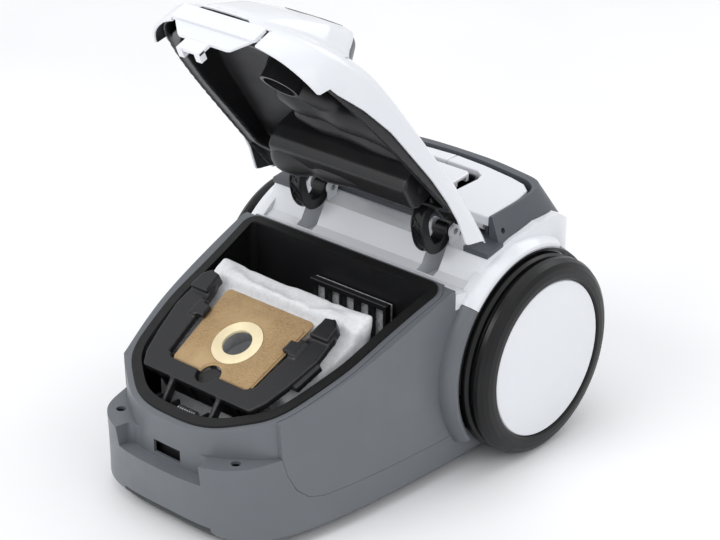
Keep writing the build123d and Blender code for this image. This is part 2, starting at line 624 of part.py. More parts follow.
# ---- bag holder ------------------------------------------------------------------------------
def holder_bracket():
    """Bracket on the chamber's front wall that carries the holder's pin."""
    y_wall = -291.0
    bracket = block((-38, y_wall, 84), (38, y_wall + 3, 98))
    for x in (-38, 34):
        bracket += block((x, y_wall + 2.9, HOLDER_PIN_Z - 6), (x + 4, HOLDER_PIN_Y + 5, HOLDER_PIN_Z + 4.5))
    bracket += block((-38, y_wall, 82), (38, HOLDER_PIN_Y - 5, 85))
    return bracket - rod((-40, HOLDER_PIN_Y, HOLDER_PIN_Z), (40, HOLDER_PIN_Y, HOLDER_PIN_Z), HOLDER_PIN_R)


def holder_pin():
    return rod((-39, HOLDER_PIN_Y, HOLDER_PIN_Z), (39, HOLDER_PIN_Y, HOLDER_PIN_Z), HOLDER_PIN_R)


def holder_spring():
    """Coil on the pin that keeps the holder up against the bag."""
    radius, wire, turns, pitch = 4.4, 0.75, 8, 2.6
    path = Helix(pitch, pitch * turns, radius)
    start = Plane(origin=path @ 0, z_dir=path % 0)
    coil = sweep(start * Circle(wire), path)
    return Pos(-pitch * turns / 2, HOLDER_PIN_Y, HOLDER_PIN_Z) * Rot(0, 90, 0) * coil


PLATE = [(-45, -37.5), (45, -37.5), (51, 46), (-51, 46)]


def bag_holder():
    """U-shaped carrier that the bag's plate slides into, with clips, side tab and two hinge lugs."""
    shape = [(-62, -55), (62, -55), (70, -42), (76, -20), (82, 12), (80, 38), (74, 49), (64, 49), (59, 38),
             (55, 12), (50, -34), (-50, -34), (-55, 12), (-59, 38), (-64, 49), (-74, 49), (-80, 38), (-82, 12),
             (-76, -20), (-70, -42)]
    face = make_face(Polyline(*shape, close=True))
    frame = on_plate(fillet(face.vertices().filter_by(lambda v: abs(v.Y) > 40), 4), -3.6, 3.0)
    seat = rounded_polygon([(-45.6, -38.1), (45.6, -38.1), (53.4, 70), (-53.4, 70)], 4)
    frame -= on_plate(seat, -2.5, 10)
    ledge = make_face(Polyline((-47, -39), (47, -39), (49, 10), (40, 10), (37, -29), (-37, -29), (-40, 10),
                               (-49, 10), close=True))
    frame += on_plate(ledge, -5.4, -2.5)
    notch = Pos(0, -38) * Circle(10.5)
    frame -= on_plate(notch, -6, 3.0 + 1)
    frame += on_plate(notch, -5.4, -3.4)
    for side in (-1, 1):
        clip = [(side * 46.5, 8), (side * 60, 8), (side * 60, 20), (side * 47.5, 20)]
        frame += on_plate(make_face(Polyline(*clip, close=True)), 0.5, 5.5)
        post = [(side * 54.0, 6), (side * 62, 6), (side * 62, 24), (side * 54.8, 24)]
        frame += on_plate(make_face(Polyline(*post, close=True)), -3.6, 5.5)
        horn = [(side * 60, 30), (side * 80, 30), (side * 78, 46), (side * 72, 52), (side * 62, 50)]
        frame += on_plate(make_face(Polyline(*horn, close=True)), -3.6, 8.0)
    tab = [(66, -16), (80, -16), (84, 12), (73, 15)]
    frame += on_plate(make_face(Polyline(*tab, close=True)), -8.5, -2.0)
    for side in (-1, 1):
        x = side * 27.0
        low = plate_place(0, -50, -3.6)
        far = plate_place(0, -55, 0)
        lug = side_prism([(low[1], low[2]), (far[1] - 0.5, far[2] + 2.0), (HOLDER_PIN_Y - 3.2, HOLDER_PIN_Z + 4),
                          (HOLDER_PIN_Y - 2, HOLDER_PIN_Z - 3.6), (HOLDER_PIN_Y + 4, HOLDER_PIN_Z - 2.6)], x - 2.5, x + 2.5)
        frame += lug + rod((x - 2.5, HOLDER_PIN_Y, HOLDER_PIN_Z), (x + 2.5, HOLDER_PIN_Y, HOLDER_PIN_Z), 4.6)
    return frame - rod((-60, HOLDER_PIN_Y, HOLDER_PIN_Z), (60, HOLDER_PIN_Y, HOLDER_PIN_Z), HOLDER_PIN_R + RUN)


def bag_plate():
    """Stiff card plate of the dust bag."""
    plate = on_plate(rounded_polygon(PLATE, 5), -2.2, 0.0)
    plate -= on_plate(Circle(RING_R + 0.05), -3, 1)
    return plate - on_plate(Pos(0, -38) * Circle(10.8), -3, 1)


def bag_ring():
    """Soft lip round the plate's hole."""
    ring = on_plate(Circle(RING_R), -2.2, 0.3)
    return ring - on_plate(Circle(RING_HOLE), -3, 1)


def bag_body():
    """Fleece bag below the plate, as one plain pillow."""
    plan = column(outline(inset(SEAL, 15), 14), 30, 200)
    plan -= block((-200, -400, 0), (200, -268, CHAMBER_STEP + 12))
    plan &= block((-90, -262, 30), (90, -146, 200)) - block((60, -262, 30), (90, -254, 200))
    plan -= block((-90, -262, 30), (-60, -254, 200))
    plan -= block((-200, -400, 0), (200, CHAMBER_STEP_Y + 7, CHAMBER_STEP + 8))
    low = split(plan, bisect_by=PLATE_PLANE.offset(-9.0), keep=Keep.BOTTOM)
    top = split(plan, bisect_by=PLATE_PLANE.offset(-1.5), keep=Keep.BOTTOM)
    top &= side_prism([plate_place(0, 54, -30)[1:], plate_place(0, 54, 30)[1:], (-100, 260), (-100, 100)], -90, 90)
    low -= on_plate(Circle(RING_R + 3), -60, 0)
    return low + top


def bag_neck():
    """Short sleeve between the plate and the bag."""
    return on_plate(Circle(RING_R + 2.8) - Circle(RING_R + 1.2), -30.0, -2.25)


# ---- lid, modelled shut ----------------------------------------------------------------------
def under_skin(drop):
    """All the space under the lid's skin, the skin moved down by a distance."""
    faces = []
    for y, side, middle in LID_SKIN:
        low = side - 9 - drop
        arc = ThreePointArc((-136, low), (0, middle - drop), (136, low))
        frame = [Line((136, low), (136, 30)), Line((136, 30), (-136, 30)), Line((-136, 30), (-136, low))]
        face = make_face([arc] + frame)
        faces.append(Plane(origin=(0, y, 0), x_dir=(1, 0, 0), z_dir=(0, -1, 0)) * face)
    return loft(faces)


def lid_plan(shrink):
    return outline(inset(LID, shrink), 10)


LID_EDGE = [(-340, 94), (-312, 94.5), (-300, 97.5), (-286, 99.6), (-270, 102.5), (-267.6, 114.5), (-259, 118),
            (-236, 131), (-204, 145), (-171, 155), (-140, 164.5), (-110, 171.5), (-87, 175.5), (-62, 174.5),
            (-20, 174.5), (-20, 30), (-340, 30)]
LID_BACK = [(-62, 160), (-60.5, 173), (-47, 199), (-42.5, 216), (-42.5, 260), (100, 260), (100, 160)]
AXIS_UP = Vector(0, -sin(radians(PLATE_TILT)), cos(radians(PLATE_TILT)))


def hose_axis(t):
    """A point on the line that the hose, the nozzle and the bag's hole share."""
    return tuple(Vector(0, PLATE_Y, PLATE_Z) + AXIS_UP * t)


def hood():
    """Raised white hood from the front of the lid up to the hose collar."""
    sections = []
    for y, low, high, bottom_half, top_half in [(-312, 100, 125, 40, 26), (-290, 118, 157, 54, 34),
                                                 (-268, 130, 181, 62, 39), (-246, 140, 199, 64, 42)]:
        wire = Polyline((-bottom_half, low), (-top_half, high), (top_half, high), (bottom_half, low), close=True)
        sections.append(Plane(origin=(0, y, 0), x_dir=(1, 0, 0), z_dir=(0, -1, 0)) * make_face(wire))
    return loft(sections, ruled=True)


def collar_space(grow):
    """Flared ring round the hose's line, cut off along the hood's slope in front and flatter behind."""
    plane = Plane(origin=hose_axis(12), z_dir=AXIS_UP)
    cone = loft([plane * Circle(52 + grow), plane.offset(64) * Circle(36 + grow)])
    top = [(-330, 124 + grow), (-262, 183.5 + grow), (-246, 196 + grow), (-190, 207 + grow), (-190, 60), (-330, 60)]
    return cone & side_prism(top, -80, 80)


def lid_shell():
    """White outer skin of the lid."""
    out = column(lid_plan(0), 80, 240) & under_skin(0)
    out += hood()
    shell = out - (column(lid_plan(WALL), 60, 260) & under_skin(WALL))
    shell -= hood_inside()
    shell -= side_prism(LID_EDGE, -200, 200)
    shell -= side_prism(LID_BACK, -200, 200)
    shell -= collar_space(0.25)
    shell -= block((-46.5, -340, 60), (46.5, -298, 113))
    shell -= block((-51.3, -307.3, 60), (51.3, -298, 113.3))
    return biggest(shell)


def hood_inside():
    return rod(hose_axis(-10), hose_axis(90), 26.4)


def biggest(shape):
    """The largest solid of a cut shape, without loose chips."""
    return shape.solids().sort_by(SortBy.VOLUME)[-1]


def lid_liner():
    """Black inner lid: a sheet under the skin, a wall that meets the seal, the bulge and the rear ribs."""
    sheet = column(lid_plan(WALL + 0.4), 60, 260) & under_skin(WALL + 0.4)
    sheet -= column(lid_plan(0), 60, 260) & under_skin(WALL + 3.0)
    wall = column(outline(inset(SEAL, -3.0), 14), 60, 260) - column(outline(inset(SEAL, 5.5), 7), 50, 280)
    wall &= under_skin(WALL + 1.0)
    flange = column(lid_plan(WALL + 0.4), 80, 260) - column(lid_plan(WALL + 2.4), 70, 270)
    liner = over_rim(sheet + wall, 1.0) + over_rim(flange & under_skin(WALL + 1.0), -1.2)
    liner -= side_prism([(y - 1.2, z) for y, z in LID_BACK], -200, 200)
    bulge = side_prism([(-136, 158), (-130, 151), (-108, 154), (-103, 162), (-103, 200), (-140, 195), (-140, 170)],
                       -60, 94)
    liner += fillet(bulge.edges().filter_by(Axis.X).sort_by(Axis.Z)[:4], 4) & under_skin(WALL + 1.0)
    for i in range(11):
        x = -90 + i * 18
        if abs(abs(x) - ARM_X) > 12:
            rib = block((x - 1, -98, 179), (x + 1, -66, 215)) & under_skin(WALL + 1.0)
            liner += over_rim(rib, 2.0)
    liner -= block((-47.0, -340, 60), (47.0, -299.6, 113))
    for side in (-1, 1):
        liner += block((side * 49 - 2, -307, 104), (side * 49 + 2, -298, 113))
    liner -= rod((-60, -303.4, 108.5), (60, -303.4, 108.5), 1.5)
    liner -= rod(hose_axis(-5), hose_axis(80), 22.2)
    liner -= rod(hose_axis(33.5), hose_axis(80), 26.2)
    return biggest(liner)


def nozzle():
    """Pipe from the hose socket down to the bag's hole."""
    pipe = tube(hose_axis(1.2), hose_axis(26), 17.5, 14.5)
    cone = Plane(origin=hose_axis(26), z_dir=AXIS_UP)
    pipe += loft([cone * Circle(17.5), cone.offset(8) * Circle(22.0)]) - loft([cone * Circle(14.5), cone.offset(8) * Circle(18.5)])
    return pipe


def hose_collar():
    """Dark collar with the socket that the hose plugs into."""
    collar = collar_space(0)
    collar -= rod(hose_axis(10), hose_axis(90), HOSE_BORE_R) + rod(hose_axis(10), hose_axis(34.3), 26.2)
    collar -= under_skin(WALL + 0.2)
    collar -= collar_hollow()
    mouth = side_prism([(-330, 126), (-262, 187.5), (-246, 201), (-190, 209), (-190, 60), (-330, 60)], -80, 80)
    collar += tube(hose_axis(34.3), hose_axis(68), 25.8, HOSE_BORE_R) & mouth
    collar += tube(hose_axis(34.3), hose_axis(37), 25.8, 18.5)
    return biggest(collar)


def collar_hollow():
    """Room inside the collar's wall."""
    plane = Plane(origin=hose_axis(11.5), z_dir=AXIS_UP)
    cone = loft([plane * Circle(49), plane.offset(64) * Circle(33)])
    top = [(-330, 121), (-262, 180.5), (-246, 193), (-190, 204), (-190, 60), (-330, 60)]
    return (cone & side_prism(top, -80, 80)) - rod(hose_axis(10), hose_axis(90), 26)


def hinge_arms():
    """Two gooseneck arms from the lid's rear edge to its hinge pins."""
    path = [(HINGE_Y, HINGE_Z), (-31, 188), (-34.5, 177), (-48, 172.5), (-62, 174.5), (-71, 181), (-74.5, 197)]
    half = 5.5
    arms = []
    for side in (-1, 1):
        x = side * ARM_X
        arm = rod((x - 7, HINGE_Y, HINGE_Z), (x + 7, HINGE_Y, HINGE_Z), 6.5)
        for (ya, za), (yb, zb) in zip(path, path[1:]):
            length = sqrt((yb - ya) ** 2 + (zb - za) ** 2)
            ny, nz = -(zb - za) / length * half, (yb - ya) / length * half
            arm += side_prism([(ya + ny, za + nz), (yb + ny, zb + nz), (yb - ny, zb - nz), (ya - ny, za - nz)],
                              x - 7, x + 7)
            arm += rod((x - 7, yb, zb), (x + 7, yb, zb), half)
        arm &= under_skin(WALL + 3.8)
        arm -= rod((x - 10, HINGE_Y, HINGE_Z), (x + 10, HINGE_Y, HINGE_Z), 3.0 + RUN)
        arms.append(biggest(arm))
    return Compound(arms)


def hinge_pins():
    pins = [rod((s * ARM_X - 12.4, HINGE_Y, HINGE_Z), (s * ARM_X + 12.4, HINGE_Y, HINGE_Z), 3.0) for s in (-1, 1)]
    return Compound([p.solid() for p in pins])


def latch_button():
    """White grip in the lid's front edge with the hook that enters the slot in the nose."""
    band = column(outline(inset(LID, -0.5), 10), 92, 111.5) - column(outline(inset(LID, 3.5), 10), 80, 130)
    button = band & block((-45, -340, 92), (45, -290, 110.7))
    shelf = column(outline(inset(LID, 1.0), 10), 92, 95) & block((-42, -340, 92), (42, -308.5, 95))
    button += shelf
    hook = side_prism([(-315, 95), (-310.5, 95), (-310.5, 73), (-304.6, 72), (-309, 66), (-315, 68)], -13, 13)
    button += hook
    button += block((-40, -315, 108), (40, -303.4, 110.7))
    barrel = rod((-40, -303.4, 108.5), (40, -303.4, 108.5), 3.0)
    button += barrel
    return button - rod((-60, -303.4, 108.5), (60, -303.4, 108.5), 1.5 + RUN)


def latch_pin():
    return rod((-50.5, -303.4, 108.5), (50.5, -303.4, 108.5), 1.5)


def screws():
    """Cross-head screws down in the nose pads and up in the sole."""
    items = []
    y = PAD_HOLE[1]
    for x in (-PAD_HOLE[0], PAD_HOLE[0]):
        head = rod((x, y, 67.1), (x, y, 70), 3.6) + rod((x, y, 52), (x, y, 67.2), 1.95)
        head -= block((x - 2, y - 0.4, 69), (x + 2, y + 0.4, 71)) + block((x - 0.4, y - 2, 69), (x + 0.4, y + 2, 71))
        items.append(head.solid())
    return Compound(items)


def opened(shape):
    """Turns a shape of the shut lid to where it stands open."""
    return shape.rotate(Axis((0, HINGE_Y, HINGE_Z), (1, 0, 0)), -LID_OPEN)


def parts():
    lid = {"lid_shell": lid_shell(), "lid_liner": lid_liner(), "inlet_nozzle": nozzle(),
           "hose_collar": hose_collar(), "hinge_arms": hinge_arms(), "latch_button": latch_button(),
           "latch_pin": latch_pin()}
    made = {name: opened(shape) for name, shape in lid.items()}
    right = {"side_panel": side_panel(), "wheel_arch": wheel_arch(), "wheel_tyre": tyre(),
             "wheel_disc": wheel_disc(), "wheel_core": wheel_core(), "pedal": pedal()}
    for name, shape in right.items():
        made[name + "_right"] = shape
        made[name + "_left"] = mirrored(shape)
    made.update({
        "base_shell": base_shell(), "front_grip": front_grip(), "dust_chamber": dust_chamber(),
        "chamber_seal": chamber_seal(), "grille_frame": grille_frame(), "motor_filter": motor_filter(),
        "rear_housing": rear_housing(), "top_trim": top_trim(), "recess_tray": recess_tray(),
        "deck_axle": deck_axle(), "carry_handle": carry_handle(), "exhaust_frame": exhaust_frame(),
        "exhaust_filter": exhaust_filter(), "exhaust_door": exhaust_door(), "motor_bracket": motor_bracket(),
        "motor_seal": motor_seal(), "fan_housing": fan_housing(), "motor_body": motor_body(),
        "motor_rotor": motor_rotor(), "motor_rear_mount": motor_rear_mount(), "reel_bracket": reel_bracket(),
        "cord_reel": cord_reel(), "cord_outlet": cord_outlet(), "circuit_board": circuit_board(),
        "power_switch": power_switch(), "wheel_axles": wheel_axles(), "caster_fork": caster_fork(),
        "caster_axle": caster_axle(), "caster_wheel": caster_wheel(), "holder_bracket": holder_bracket(),
        "holder_pin": holder_pin(), "holder_spring": holder_spring(), "bag_holder": bag_holder(),
        "bag_plate": bag_plate(), "bag_ring": bag_ring(), "bag_body": bag_body(), "bag_neck": bag_neck(),
        "hinge_pins": hinge_pins(), "screws": screws(),
    })
    return made


def main():
    os.makedirs("parts", exist_ok=True)
    for name, shape in parts().items():
        export_step(Pos(0, SHIFT_Y, 0) * shape, f"parts/{name}.step")


main()
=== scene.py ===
"""Canister vacuum cleaner with its lid open: the looks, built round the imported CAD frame. Metres, +Z up."""
import json
import math

import bmesh
import bpy
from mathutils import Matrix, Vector, noise


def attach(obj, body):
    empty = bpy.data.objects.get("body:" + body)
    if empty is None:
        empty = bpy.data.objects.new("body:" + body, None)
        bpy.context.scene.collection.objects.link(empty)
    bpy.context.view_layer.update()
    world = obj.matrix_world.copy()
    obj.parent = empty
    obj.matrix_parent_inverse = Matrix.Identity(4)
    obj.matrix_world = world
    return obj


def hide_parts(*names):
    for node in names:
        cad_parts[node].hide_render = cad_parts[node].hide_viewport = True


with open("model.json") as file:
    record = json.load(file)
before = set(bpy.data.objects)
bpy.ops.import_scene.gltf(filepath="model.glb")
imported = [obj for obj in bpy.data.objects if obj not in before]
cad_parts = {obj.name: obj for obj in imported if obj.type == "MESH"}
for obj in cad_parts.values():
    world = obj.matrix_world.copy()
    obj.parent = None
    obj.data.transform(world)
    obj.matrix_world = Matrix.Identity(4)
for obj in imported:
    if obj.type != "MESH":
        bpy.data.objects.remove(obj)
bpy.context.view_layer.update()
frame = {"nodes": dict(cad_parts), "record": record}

SHIFT = 0.1096
NODES = frame["nodes"]


def place(x, y, z):
    """A point of the drawing, in millimetres from the wheel axle, as a point of the frame."""
    return Vector((x / 1000, y / 1000 + SHIFT, z / 1000))


# ---- camera ---------------------------------------------------------------------------------
camera_data = bpy.data.cameras.new("camera")
camera_data.lens = 107.3
camera_data.sensor_width = 36.0
camera_data.clip_end = 20.0
camera = bpy.data.objects.new("camera", camera_data)
bpy.context.scene.collection.objects.link(camera)
camera.location = place(1135.04, -1342.06, 968.99)
back = Vector((0.5995, -0.6731, 0.4330))
camera.rotation_euler = back.to_track_quat("Z", "Y").to_euler()
bpy.context.scene.camera = camera
bpy.context.scene.view_settings.view_transform = "Standard"


# ---- studio ---------------------------------------------------------------------------------
def area_light(name, where, target, size, power, tint=(1.0, 1.0, 1.0)):
    data = bpy.data.lights.new(name, "AREA")
    data.shape = "RECTANGLE"
    data.size, data.size_y = size
    data.energy = power
    data.color = tint
    lamp = bpy.data.objects.new(name, data)
    bpy.context.scene.collection.objects.link(lamp)
    lamp.location = where
    lamp.rotation_euler = (Vector(where) - Vector(target)).to_track_quat("Z", "Y").to_euler()
    return lamp


area_light("key", (-0.6, -1.9, 2.0), (0, 0, 0.15), (1.6, 1.2), 24)
area_light("fill", (2.0, -0.5, 1.3), (0, 0, 0.2), (1.4, 1.4), 5)
area_light("rim", (0.4, 1.9, 1.8), (0, 0, 0.2), (2.0, 1.0), 9)
area_light("top", (0.0, 0.0, 2.4), (0, 0, 0), (2.0, 2.0), 8)

world = bpy.data.worlds.new("studio")
bpy.context.scene.world = world
world.use_nodes = True
world.node_tree.nodes["Background"].inputs[0].default_value = (0.92, 0.93, 0.95, 1)
world.node_tree.nodes["Background"].inputs[1].default_value = 0.84


# ---- materials ------------------------------------------------------------------------------
def srgb(r, g, b):
    """A colour given in 8-bit display values."""
    linear = [((c / 255 + 0.055) / 1.055) ** 2.4 if c > 10 else c / 255 / 12.92 for c in (r, g, b)]
    return tuple(linear) + (1.0,)


class Surface:
    """A Principled material with helpers for procedural colour, roughness and bump."""

    def __init__(self, name, colour, roughness, **sockets):
        self.material = bpy.data.materials.new(name)
        self.material.use_nodes = True
        self.tree = self.material.node_tree
        self.shader = self.tree.nodes["Principled BSDF"]
        self.shader.inputs["Base Color"].default_value = colour
        self.shader.inputs["Roughness"].default_value = roughness
        for socket, value in sockets.items():
            self.shader.inputs[socket.replace("_", " ")].default_value = value
        self.colour = colour
        self.roughness = roughness
        self.coords = self.tree.nodes.new("ShaderNodeTexCoord")
        self.last_normal = None

    def node(self, kind, **settings):
        made = self.tree.nodes.new(kind)
        for key, value in settings.items():
            setattr(made, key, value)
        return made

    def link(self, source, target):
        self.tree.links.new(source, target)

    def noise(self, scale, detail=3.0, stretch=None):
        texture = self.node("ShaderNodeTexNoise")
        texture.inputs["Scale"].default_value = scale
        texture.inputs["Detail"].default_value = detail
        self.place_texture(texture, stretch)
        return texture.outputs["Fac"]

    def cells(self, scale, stretch=None, feature="F1"):
        texture = self.node("ShaderNodeTexVoronoi", feature=feature)
        texture.inputs["Scale"].default_value = scale
        self.place_texture(texture, stretch)
        return texture.outputs["Distance"]

    def place_texture(self, texture, stretch):
        if stretch:
            mapping = self.node("ShaderNodeMapping")
            mapping.inputs["Scale"].default_value = stretch
            self.link(self.coords.outputs["Object"], mapping.inputs["Vector"])
            self.link(mapping.outputs["Vector"], texture.inputs["Vector"])
        else:
            self.link(self.coords.outputs["Object"], texture.inputs["Vector"])

    def span(self, source, low, high, to_low, to_high):
        part = self.node("ShaderNodeMapRange")
        for socket, value in zip(("From Min", "From Max", "To Min", "To Max"), (low, high, to_low, to_high)):
            part.inputs[socket].default_value = value
        self.link(source, part.inputs["Value"])
        return part.outputs["Result"]

    def bump(self, source, strength, distance):
        part = self.node("ShaderNodeBump")
        part.inputs["Strength"].default_value = strength
        part.inputs["Distance"].default_value = distance
        self.link(source, part.inputs["Height"])
        if self.last_normal:
            self.link(self.last_normal, part.inputs["Normal"])
        self.last_normal = part.outputs["Normal"]
        self.link(self.last_normal, self.shader.inputs["Normal"])

    def vary_roughness(self, source, low, high):
        self.link(self.span(source, 0.3, 0.7, low, high), self.shader.inputs["Roughness"])

    def vary_colour(self, source, other, low=0.35, high=0.65):
        mix = self.node("ShaderNodeMix", data_type="RGBA")
        self.link(self.span(source, low, high, 0.0, 1.0), mix.inputs["Factor"])
        if self.shader.inputs["Base Color"].is_linked:
            self.link(self.shader.inputs["Base Color"].links[0].from_socket, mix.inputs["A"])
        else:
            mix.inputs["A"].default_value = self.colour
        mix.inputs["B"].default_value = other
        self.link(mix.outputs["Result"], self.shader.inputs["Base Color"])


def moulded(name, colour, roughness, grain=0.12, grain_scale=2600.0, shade=0.93, **sockets):
    """Injection-moulded plastic: a fine eroded grain, soft mottling, and slightly uneven gloss."""
    surface = Surface(name, colour, roughness, **sockets)
    darker = tuple(c * shade for c in colour[:3]) + (1.0,)
    surface.vary_colour(surface.noise(14.0, 2.0), darker)
    surface.vary_roughness(surface.noise(60.0, 4.0), roughness * 0.88, roughness * 1.14)
    surface.bump(surface.noise(grain_scale, 2.0), grain, 0.00012)
    surface.bump(surface.noise(38.0, 2.0), 0.06, 0.0006)
    return surface.material


def gloss_white(name, colour, roughness):
    surface = Surface(name, colour, roughness, Coat_Weight=0.35, Coat_Roughness=0.05, IOR=1.5)
    surface.vary_roughness(surface.noise(45.0, 3.0), roughness * 0.8, roughness * 1.3)
    surface.vary_colour(surface.noise(6.0, 2.0), tuple(c * 0.975 for c in colour[:3]) + (1.0,))
    surface.bump(surface.noise(30.0, 2.0), 0.035, 0.0006)
    return surface.material


def brushed(name, colour, roughness):
    surface = Surface(name, colour, roughness, Metallic=1.0)
    surface.vary_roughness(surface.noise(400.0, 3.0, (1.0, 18.0, 18.0)), roughness * 0.7, roughness * 1.3)
    surface.bump(surface.noise(900.0, 2.0, (1.0, 12.0, 12.0)), 0.1, 0.0001)
    return surface.material


def rubber(name, colour, roughness):
    surface = Surface(name, colour, roughness, Specular_IOR_Level=0.35)
    surface.vary_colour(surface.noise(25.0, 3.0), tuple(min(1.0, c * 1.35) for c in colour[:3]) + (1.0,))
    surface.vary_roughness(surface.noise(120.0, 3.0), roughness * 0.9, roughness * 1.12)
    surface.bump(surface.noise(1500.0, 3.0), 0.25, 0.00015)
    return surface.material


def card(name, colour):
    """Pressed brown card with short fibres."""
    surface = Surface(name, colour, 0.82, Specular_IOR_Level=0.2)
    surface.vary_colour(surface.noise(420.0, 4.0, (1.0, 3.0, 3.0)), srgb(150, 122, 86), 0.42, 0.72)
    surface.vary_colour(surface.noise(30.0, 3.0), srgb(190, 163, 124), 0.45, 0.75)
    surface.bump(surface.noise(1400.0, 4.0, (1.0, 2.5, 2.5)), 0.35, 0.00015)
    return surface.material


def fleece(name, colour):
    """Non-woven filter fleece: bonded dots and loose fibres."""
    surface = Surface(name, colour, 0.9, Sheen_Weight=0.15, Specular_IOR_Level=0.2)
    surface.vary_colour(surface.noise(260.0, 4.0), srgb(222, 223, 226), 0.4, 0.75)
    surface.bump(surface.cells(520.0), 0.25, 0.0003)
    surface.bump(surface.noise(1800.0, 4.0), 0.35, 0.0002)
    return surface.material


def foam(name, colour):
    surface = Surface(name, colour, 0.95, Specular_IOR_Level=0.1)
    surface.bump(surface.cells(900.0), 0.8, 0.0006)
    surface.vary_colour(surface.cells(900.0), tuple(c * 0.4 for c in colour[:3]) + (1.0,), 0.1, 0.5)
    return surface.material


GREY = moulded("body_grey", srgb(104, 108, 113), 0.40, 0.10)
WHITE = gloss_white("white_gloss", srgb(229, 231, 235), 0.16)
DECK = moulded("deck_grey", srgb(76, 80, 86), 0.36, 0.10)
BLACK = moulded("black_satin", srgb(26, 26, 28), 0.36, 0.14)
LINER = moulded("black_liner", srgb(30, 30, 32), 0.42, 0.2, 1800.0)
SEAL = rubber("black_rubber", srgb(17, 17, 18), 0.52)
GRIP = rubber("grip_rubber", srgb(52, 55, 59), 0.6)
TYRE = rubber("tyre_black", srgb(8, 8, 9), 0.36)
STEEL = brushed("steel", (0.56, 0.57, 0.58, 1), 0.34)
IRON = brushed("laminated_iron", (0.32, 0.25, 0.2, 1), 0.45)
FOAM = foam("filter_foam", srgb(48, 49, 52))
CARD = card("brown_card", srgb(178, 150, 112))
CREAM = rubber("cream_lip", srgb(228, 211, 174), 0.5)
FLEECE = fleece("white_fleece", srgb(236, 237, 239))
PAD = fleece("filter_pad", srgb(170, 172, 176))
PAPER = fleece("filter_paper", srgb(232, 230, 224))
BOARD = moulded("circuit_board", srgb(40, 84, 52), 0.45)

BY_SLOT = {"body_grey": GREY, "white_gloss": WHITE, "deck_grey": DECK, "black_satin": BLACK,
           "black_rubber": SEAL, "grip_rubber": GRIP, "tyre_black": TYRE, "steel": STEEL,
           "copper_pack": IRON, "foam": FOAM, "pleats": PAPER, "card": CARD,
           "cream_rubber": CREAM, "fleece": FLEECE, "board": BOARD}
for row in frame["record"]["subparts"]:
    mesh = NODES[row["node"]].data
    mesh.materials.clear()
    mesh.materials.append(PAD if row["node"] == "motor_filter" else BY_SLOT[row["material_slot"]])


# ---- geometry helpers -----------------------------------------------------------------------
HINGE_Y, HINGE_Z, LID_OPEN = -38.0, 202.0, math.radians(68)
ARM_X = 71.0
TILT = math.radians(25.6)
PLATE_Y, PLATE_Z = -222.0, 137.0     # middle of the bag plate
WHEEL_Z = 90.0


def opened(x, y, z):
    """A point of the shut lid, in millimetres, as a point of the frame where the lid stands open."""
    dy, dz = y - HINGE_Y, z - HINGE_Z
    turn_cos, turn_sin = math.cos(LID_OPEN), math.sin(LID_OPEN)
    return place(x, HINGE_Y + dy * turn_cos + dz * turn_sin, HINGE_Z - dy * turn_sin + dz * turn_cos)


def on_plate(x, s, up):
    """A point on the bag plate's own plane: across, up the slope, and square to it, in millimetres."""
    y = PLATE_Y + s * math.cos(TILT) - up * math.sin(TILT)
    return place(x, y, PLATE_Z + s * math.sin(TILT) + up * math.cos(TILT))


def on_axis(t, radius, angle):
    """A point round the line of the hose, in the shut lid, opened."""
    s, x = radius * math.sin(angle), radius * math.cos(angle)
    y = PLATE_Y + s * math.cos(TILT) - t * math.sin(TILT)
    return opened(x, y, PLATE_Z + s * math.sin(TILT) + t * math.cos(TILT))


def between(table, key, column=1):
    """Smooth interpolation in a table of rows sorted by their first value."""
    if key <= table[0][0]:
        return table[0][column]
    for i in range(len(table) - 1):
        x0, x1 = table[i][0], table[i + 1][0]
        if key <= x1:
            y0, y1 = table[i][column], table[i + 1][column]
            before, after = table[max(i - 1, 0)], table[min(i + 2, len(table) - 1)]
            m0 = (y1 - before[column]) / (x1 - before[0]) if before[0] < x0 else (y1 - y0) / (x1 - x0)
            m1 = (after[column] - y0) / (after[0] - x0) if after[0] > x1 else (y1 - y0) / (x1 - x0)
            span = x1 - x0
            t = (key - x0) / span
            return ((2 * t ** 3 - 3 * t ** 2 + 1) * y0 + (t ** 3 - 2 * t ** 2 + t) * span * m0
                    + (3 * t ** 2 - 2 * t ** 3) * y1 + (t ** 3 - t ** 2) * span * m1)
    return table[-1][column]


def straight(table, key):
    """Plain linear interpolation."""
    if key <= table[0][0]:
        return table[0][1]
    for (x0, y0), (x1, y1) in zip(table, table[1:]):
        if key <= x1:
            return y0 + (y1 - y0) * (key - x0) / (x1 - x0)
    return table[-1][1]


def add_piece(name, mesh, material, body, replaced=()):
    """Links a modelled piece with its material, attaches it to its body and hides the CAD nodes it replaces.
    """
    obj = bpy.data.objects.new(name, mesh)
    bpy.context.scene.collection.objects.link(obj)
    mesh.materials.clear()
    mesh.materials.append(material)
    if replaced:
        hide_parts(*replaced)
    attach(obj, body)
    return obj


def mesh_from(name, points, faces, smooth_angle=40.0):
    """A mesh from points and faces, with doubles merged and its normals made consistent."""
    mesh = bpy.data.meshes.new(name)
    mesh.from_pydata([tuple(p) for p in points], [], faces)
    work = bmesh.new()
    work.from_mesh(mesh)
    bmesh.ops.remove_doubles(work, verts=work.verts, dist=0.00001)
    bmesh.ops.recalc_face_normals(work, faces=work.faces)
    work.to_mesh(mesh)
    work.free()
    mesh.shade_smooth()
    mesh.set_sharp_from_angle(angle=math.radians(smooth_angle))
    return mesh


def apply_modifiers(obj):
    """Bakes an object's modifiers into its mesh."""
    evaluated = obj.evaluated_get(bpy.context.evaluated_depsgraph_get())
    mesh = bpy.data.meshes.new_from_object(evaluated)
    obj.modifiers.clear()
    old = obj.data
    obj.data = mesh
    bpy.data.meshes.remove(old)
    return mesh


